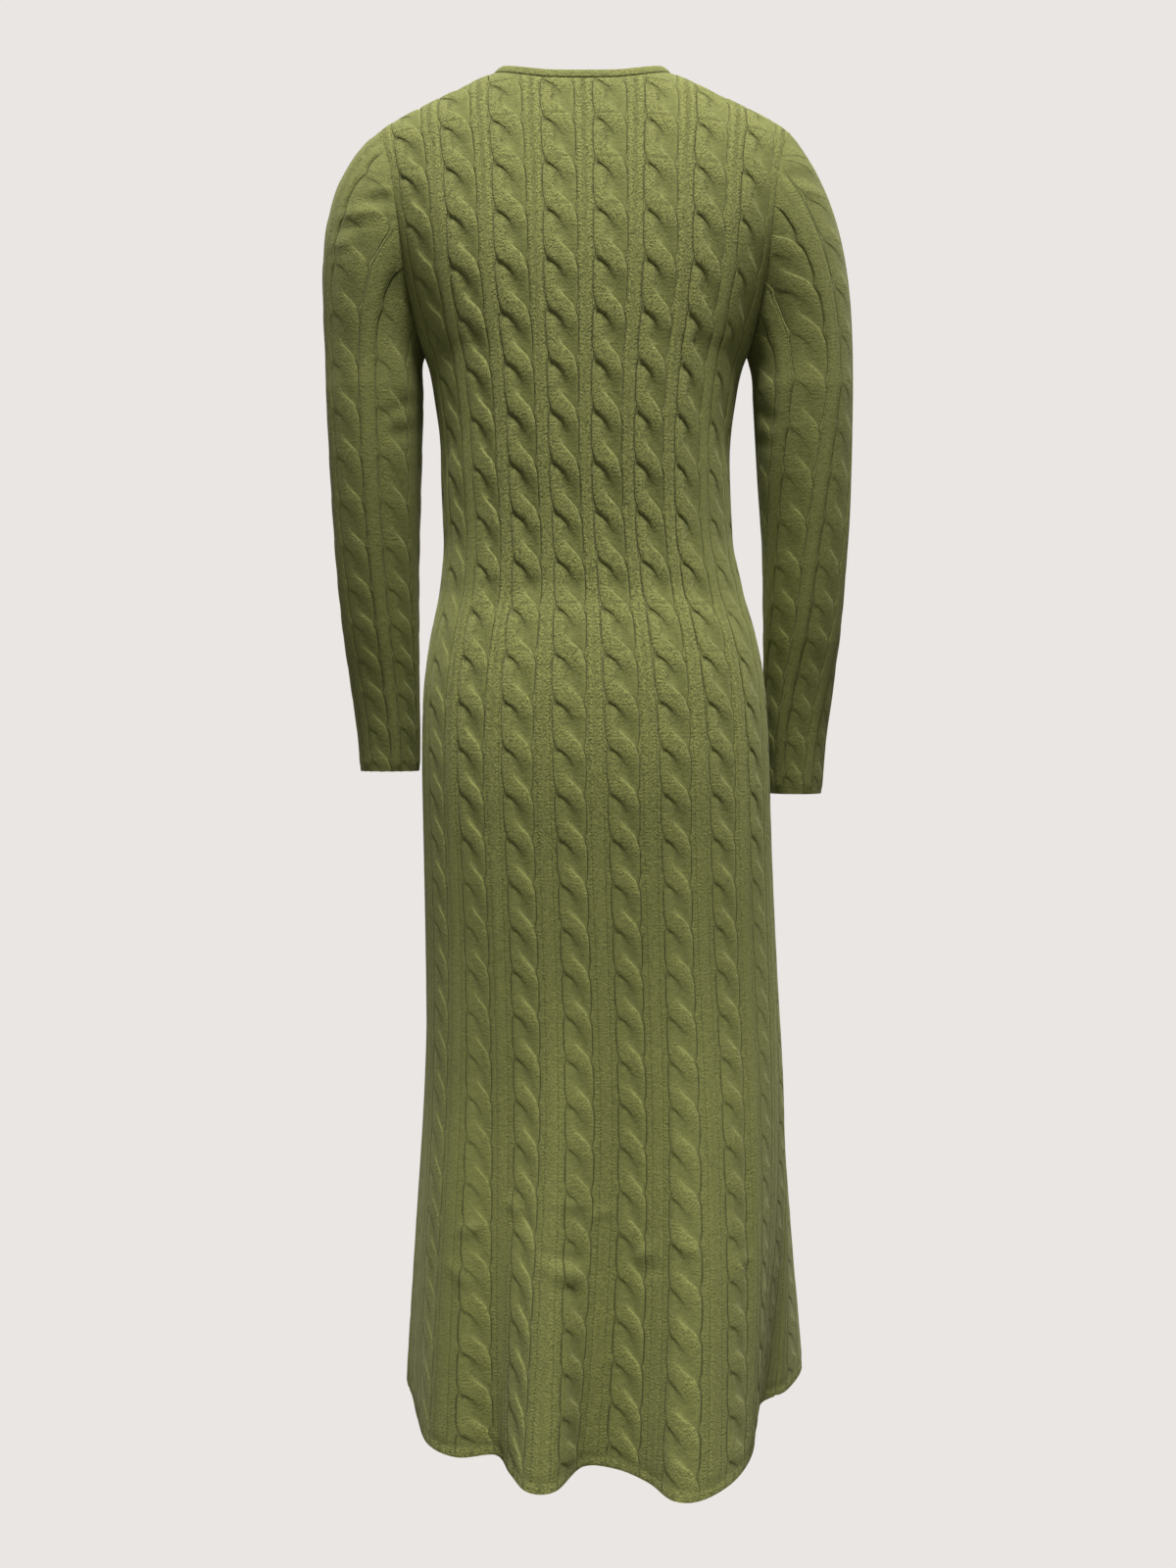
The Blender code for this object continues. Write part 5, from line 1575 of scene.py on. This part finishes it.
def make_knit(name):
    looks = KNIT_LOOKS["finish"].index(name)
    material = bpy.data.materials.new(name)
    material.use_nodes = True
    tree = material.node_tree
    shader = tree.nodes["Principled BSDF"]
    set_inputs(shader, WOOL)
    coords = tree.nodes.new("ShaderNodeTexCoord")
    knit = tree.nodes.new("ShaderNodeUVMap")
    knit.uv_map = "knit"
    nap = tree.nodes.new("ShaderNodeGroup")
    nap.node_tree = NAP
    tree.links.new(coords.outputs["Object"], nap.inputs["Place"])
    stitch = tree.nodes.new("ShaderNodeGroup")
    stitch.node_tree = STITCHES
    tree.links.new(knit.outputs["UV"], stitch.inputs["Knit"])
    wander = spread(tree, nap.outputs["Yarn shade"], SLOW_NOISE, STITCH_WANDER)
    tree.links.new(wander, stitch.inputs["Wander"])

    # The nap mark brings brushed fluff and painted light: it scales the speckle and makes the knit paler.
    fluff = point_mark(tree, "nap")
    speckle = spread(tree, nap.outputs["Fibre"], FIBRE_NOISE, SPECKLE)
    yarn = maths(tree, "SUBTRACT", stitch.outputs["Yarn"], MEAN_YARN)
    yarn = maths(tree, "MULTIPLY", yarn, KNIT_LOOKS["stitch"][looks])
    brushed = maths(tree, "MULTIPLY", maths(tree, "ADD", yarn, speckle), fluff)
    # The even shade is raised by the nap's painted light, and set lower on the sleeves as painted shade.
    even_with_painted_light = maths(tree, "ADD", maths(tree, "MULTIPLY", fluff, NAP_PAINTED_LIGHT), KNIT_LOOKS["even_with_painted_light"][looks])
    # The crease mark is painted shade, and painted highlight where below zero; the inside mark is painted
    # shade on the inner skin.
    crease = maths(tree, "MULTIPLY", point_mark(tree, "crease"), CREASE_PAINTED_SHADE)
    inside = maths(tree, "MULTIPLY", point_mark(tree, "inside"), INSIDE_PAINTED_SHADE)
    shade = maths(tree, "ADD", brushed, even_with_painted_light)
    shade = maths(tree, "ADD", shade, spread(tree, nap.outputs["Yarn shade"], SLOW_NOISE, YARN_SHADES))
    shade = maths(tree, "ADD", shade, spread(tree, nap.outputs["Broad shade"], SLOW_NOISE, BROAD_SHADES))
    shade = maths(tree, "SUBTRACT", shade, crease)
    shade = maths(tree, "SUBTRACT", shade, inside, clamp=True)
    colour = tree.nodes.new("ShaderNodeMix")
    colour.data_type = "RGBA"
    set_inputs(colour, {"A": (*KNIT_LOOKS["deep"][looks], 1.0), "B": (*KNIT_LOOKS["pale"][looks], 1.0)})
    tree.links.new(shade, colour.inputs["Factor"])
    tree.links.new(colour.outputs["Result"], shader.inputs["Base Color"])

    fur = maths(tree, "MULTIPLY", nap.outputs["Fibre"], spread(tree, fluff, (0.0, 1.0), FUR_HEIGHTS))
    bumps = maths(tree, "ADD", maths(tree, "MULTIPLY", stitch.outputs["Height"], fluff), fur)
    bump = tree.nodes.new("ShaderNodeBump")
    set_inputs(bump, KNIT_BUMP)
    tree.links.new(bumps, bump.inputs["Height"])
    tree.links.new(bump.outputs["Normal"], shader.inputs["Normal"])
    return material


# ---- stage, lights and camera ----
PAPER = (0.823, 0.791, 0.768, 1.0)
PAPER_HALF = 14.0
PAPER_LEVEL = -1.90
ROOM_LIGHT = 0.20
ROOM_COLOUR = (0.85, 0.84, 0.82, 1.0)
# Where each lamp stands: degrees round from centre back towards the wearer's left, degrees above the
# middle of the back, and metres from it. The far lamps are suns of that softness in degrees; the near
# one is a ball of that radius in metres.
LIGHTS = {
    "name":   ("overhead", "near_lamp", "front_fill"),
    "kind":   ("SUN", "POINT", "SUN"),
    "round":  (-6.0, -6.0, 180.0),
    "above":  (69.5, 69.5, 40.0),
    "away":   (3.0, 2.56, 3.0),
    "soft":   (16.0, 0.35, 60.0),
    "power":  (2.35, 208.0, 1.5),
}
MID_BACK = -0.36
CAMERA_AWAY = 1.30
CAMERA_LEVEL = -0.612
CAMERA_SHIFT = -0.03125
SENSOR = 36.0
# The lens and the picture's height, both in pixels.
FOCAL_LENGTH = 1444
PICTURE_HEIGHT = 1600


def make_backdrop():
    """A wide pale paper floor, well below the hem."""
    mesh = bpy.data.meshes.new("paper_floor")
    ways = ((-1, -1), (1, -1), (1, 1), (-1, 1))
    corners = [(x * PAPER_HALF, y * PAPER_HALF, PAPER_LEVEL) for x, y in ways]
    mesh.from_pydata(corners, [], [(0, 1, 2, 3)])
    floor = bpy.data.objects.new("paper_floor", mesh)
    bpy.context.scene.collection.objects.link(floor)
    material = bpy.data.materials.new("pale_paper")
    material.use_nodes = True
    set_inputs(material.node_tree.nodes["Principled BSDF"], {
        "Base Color": (0.0, 0.0, 0.0, 1.0),
        "Roughness": 1.0,
        "Specular IOR Level": 0.0,
        "Emission Color": PAPER,
        "Emission Strength": 1.0,
    })
    mesh.materials.append(material)
    floor.visible_diffuse = False
    floor.visible_glossy = False


def make_lights():
    for i, name in enumerate(LIGHTS["name"]):
        lamp = bpy.data.lights.new(name, LIGHTS["kind"][i])
        if LIGHTS["kind"][i] == "SUN":
            lamp.angle = math.radians(LIGHTS["soft"][i])
        else:
            lamp.shadow_soft_size = LIGHTS["soft"][i]
        lamp.energy = LIGHTS["power"][i]
        item = bpy.data.objects.new(name, lamp)
        bpy.context.scene.collection.objects.link(item)
        around = math.radians(LIGHTS["round"][i])
        above = math.radians(LIGHTS["above"][i])
        level = math.cos(above)
        place = Vector((math.sin(around) * level, math.cos(around) * level, math.sin(above)))
        item.location = place * LIGHTS["away"][i] + Vector((0.0, 0.0, MID_BACK))
        item.rotation_euler = (-place).to_track_quat("-Z", "Y").to_euler()
    world = bpy.data.worlds.new("studio")
    bpy.context.scene.world = world
    world.use_nodes = True
    tree = world.node_tree
    # the camera sees the paper's colour, and the dress is lit by the dimmer room
    back = tree.nodes["Background"]
    set_inputs(back, {"Color": PAPER, "Strength": 1.0})
    room = tree.nodes.new("ShaderNodeBackground")
    set_inputs(room, {"Color": ROOM_COLOUR, "Strength": ROOM_LIGHT})
    path = tree.nodes.new("ShaderNodeLightPath")
    mix = tree.nodes.new("ShaderNodeMixShader")
    tree.links.new(path.outputs["Is Camera Ray"], mix.inputs["Fac"])
    tree.links.new(room.outputs["Background"], mix.inputs[1])
    tree.links.new(back.outputs["Background"], mix.inputs[2])
    tree.links.new(mix.outputs["Shader"], tree.nodes["World Output"].inputs["Surface"])


def make_camera():
    data = bpy.data.cameras.new("camera")
    data.sensor_width = SENSOR
    data.lens = FOCAL_LENGTH / PICTURE_HEIGHT * SENSOR
    data.shift_y = CAMERA_SHIFT
    camera = bpy.data.objects.new("camera", data)
    bpy.context.scene.collection.objects.link(camera)
    camera.location = (0.0, CAMERA_AWAY, CAMERA_LEVEL)
    camera.rotation_euler = (math.pi / 2, 0, math.pi)
    bpy.context.scene.camera = camera


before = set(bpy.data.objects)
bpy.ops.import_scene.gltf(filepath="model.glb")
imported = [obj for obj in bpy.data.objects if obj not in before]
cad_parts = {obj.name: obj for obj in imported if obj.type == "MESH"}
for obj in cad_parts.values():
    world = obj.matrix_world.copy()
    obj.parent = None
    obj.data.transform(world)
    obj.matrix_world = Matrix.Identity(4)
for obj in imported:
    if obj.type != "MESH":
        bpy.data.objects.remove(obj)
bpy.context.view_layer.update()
make_camera()
make_lights()
make_backdrop()
bpy.context.scene.view_settings.view_transform = "Standard"

finishes = {name: make_knit(name) for name in KNIT_LOOKS["finish"]}

PIECES = {
    "node":  ("back_panel", "front_panel", "sleeve_left", "sleeve_right", "neckband"),
    "slot":  ("body_knit", "body_knit", "sleeve_knit", "sleeve_knit", "band_knit"),
    "wide":  (0.62, 0.62, 0.30, 0.30, 0.50),
    "long":  (1.30, 1.28, 0.60, 0.62, 0.010),
    "cloth": (0.52, 0.52, 0.130, 0.133, 0.005),
    "hangs_from": ("front_panel", "back_panel", "back_panel", "back_panel", "back_panel"),
}
for i, node in enumerate(PIECES["node"]):
    finish = finishes[PIECES["slot"][i]]
    if node == "neckband":
        piece = build_neckband(node + "_knit", finish)
    elif node.endswith("panel"):
        piece = build_panel(node + "_knit", BACK if node == "back_panel" else FRONT, finish)
    else:
        piece = build_sleeve(node + "_knit", LEFT if node == "sleeve_left" else RIGHT, finish)
    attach(piece, "root")
    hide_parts(node)
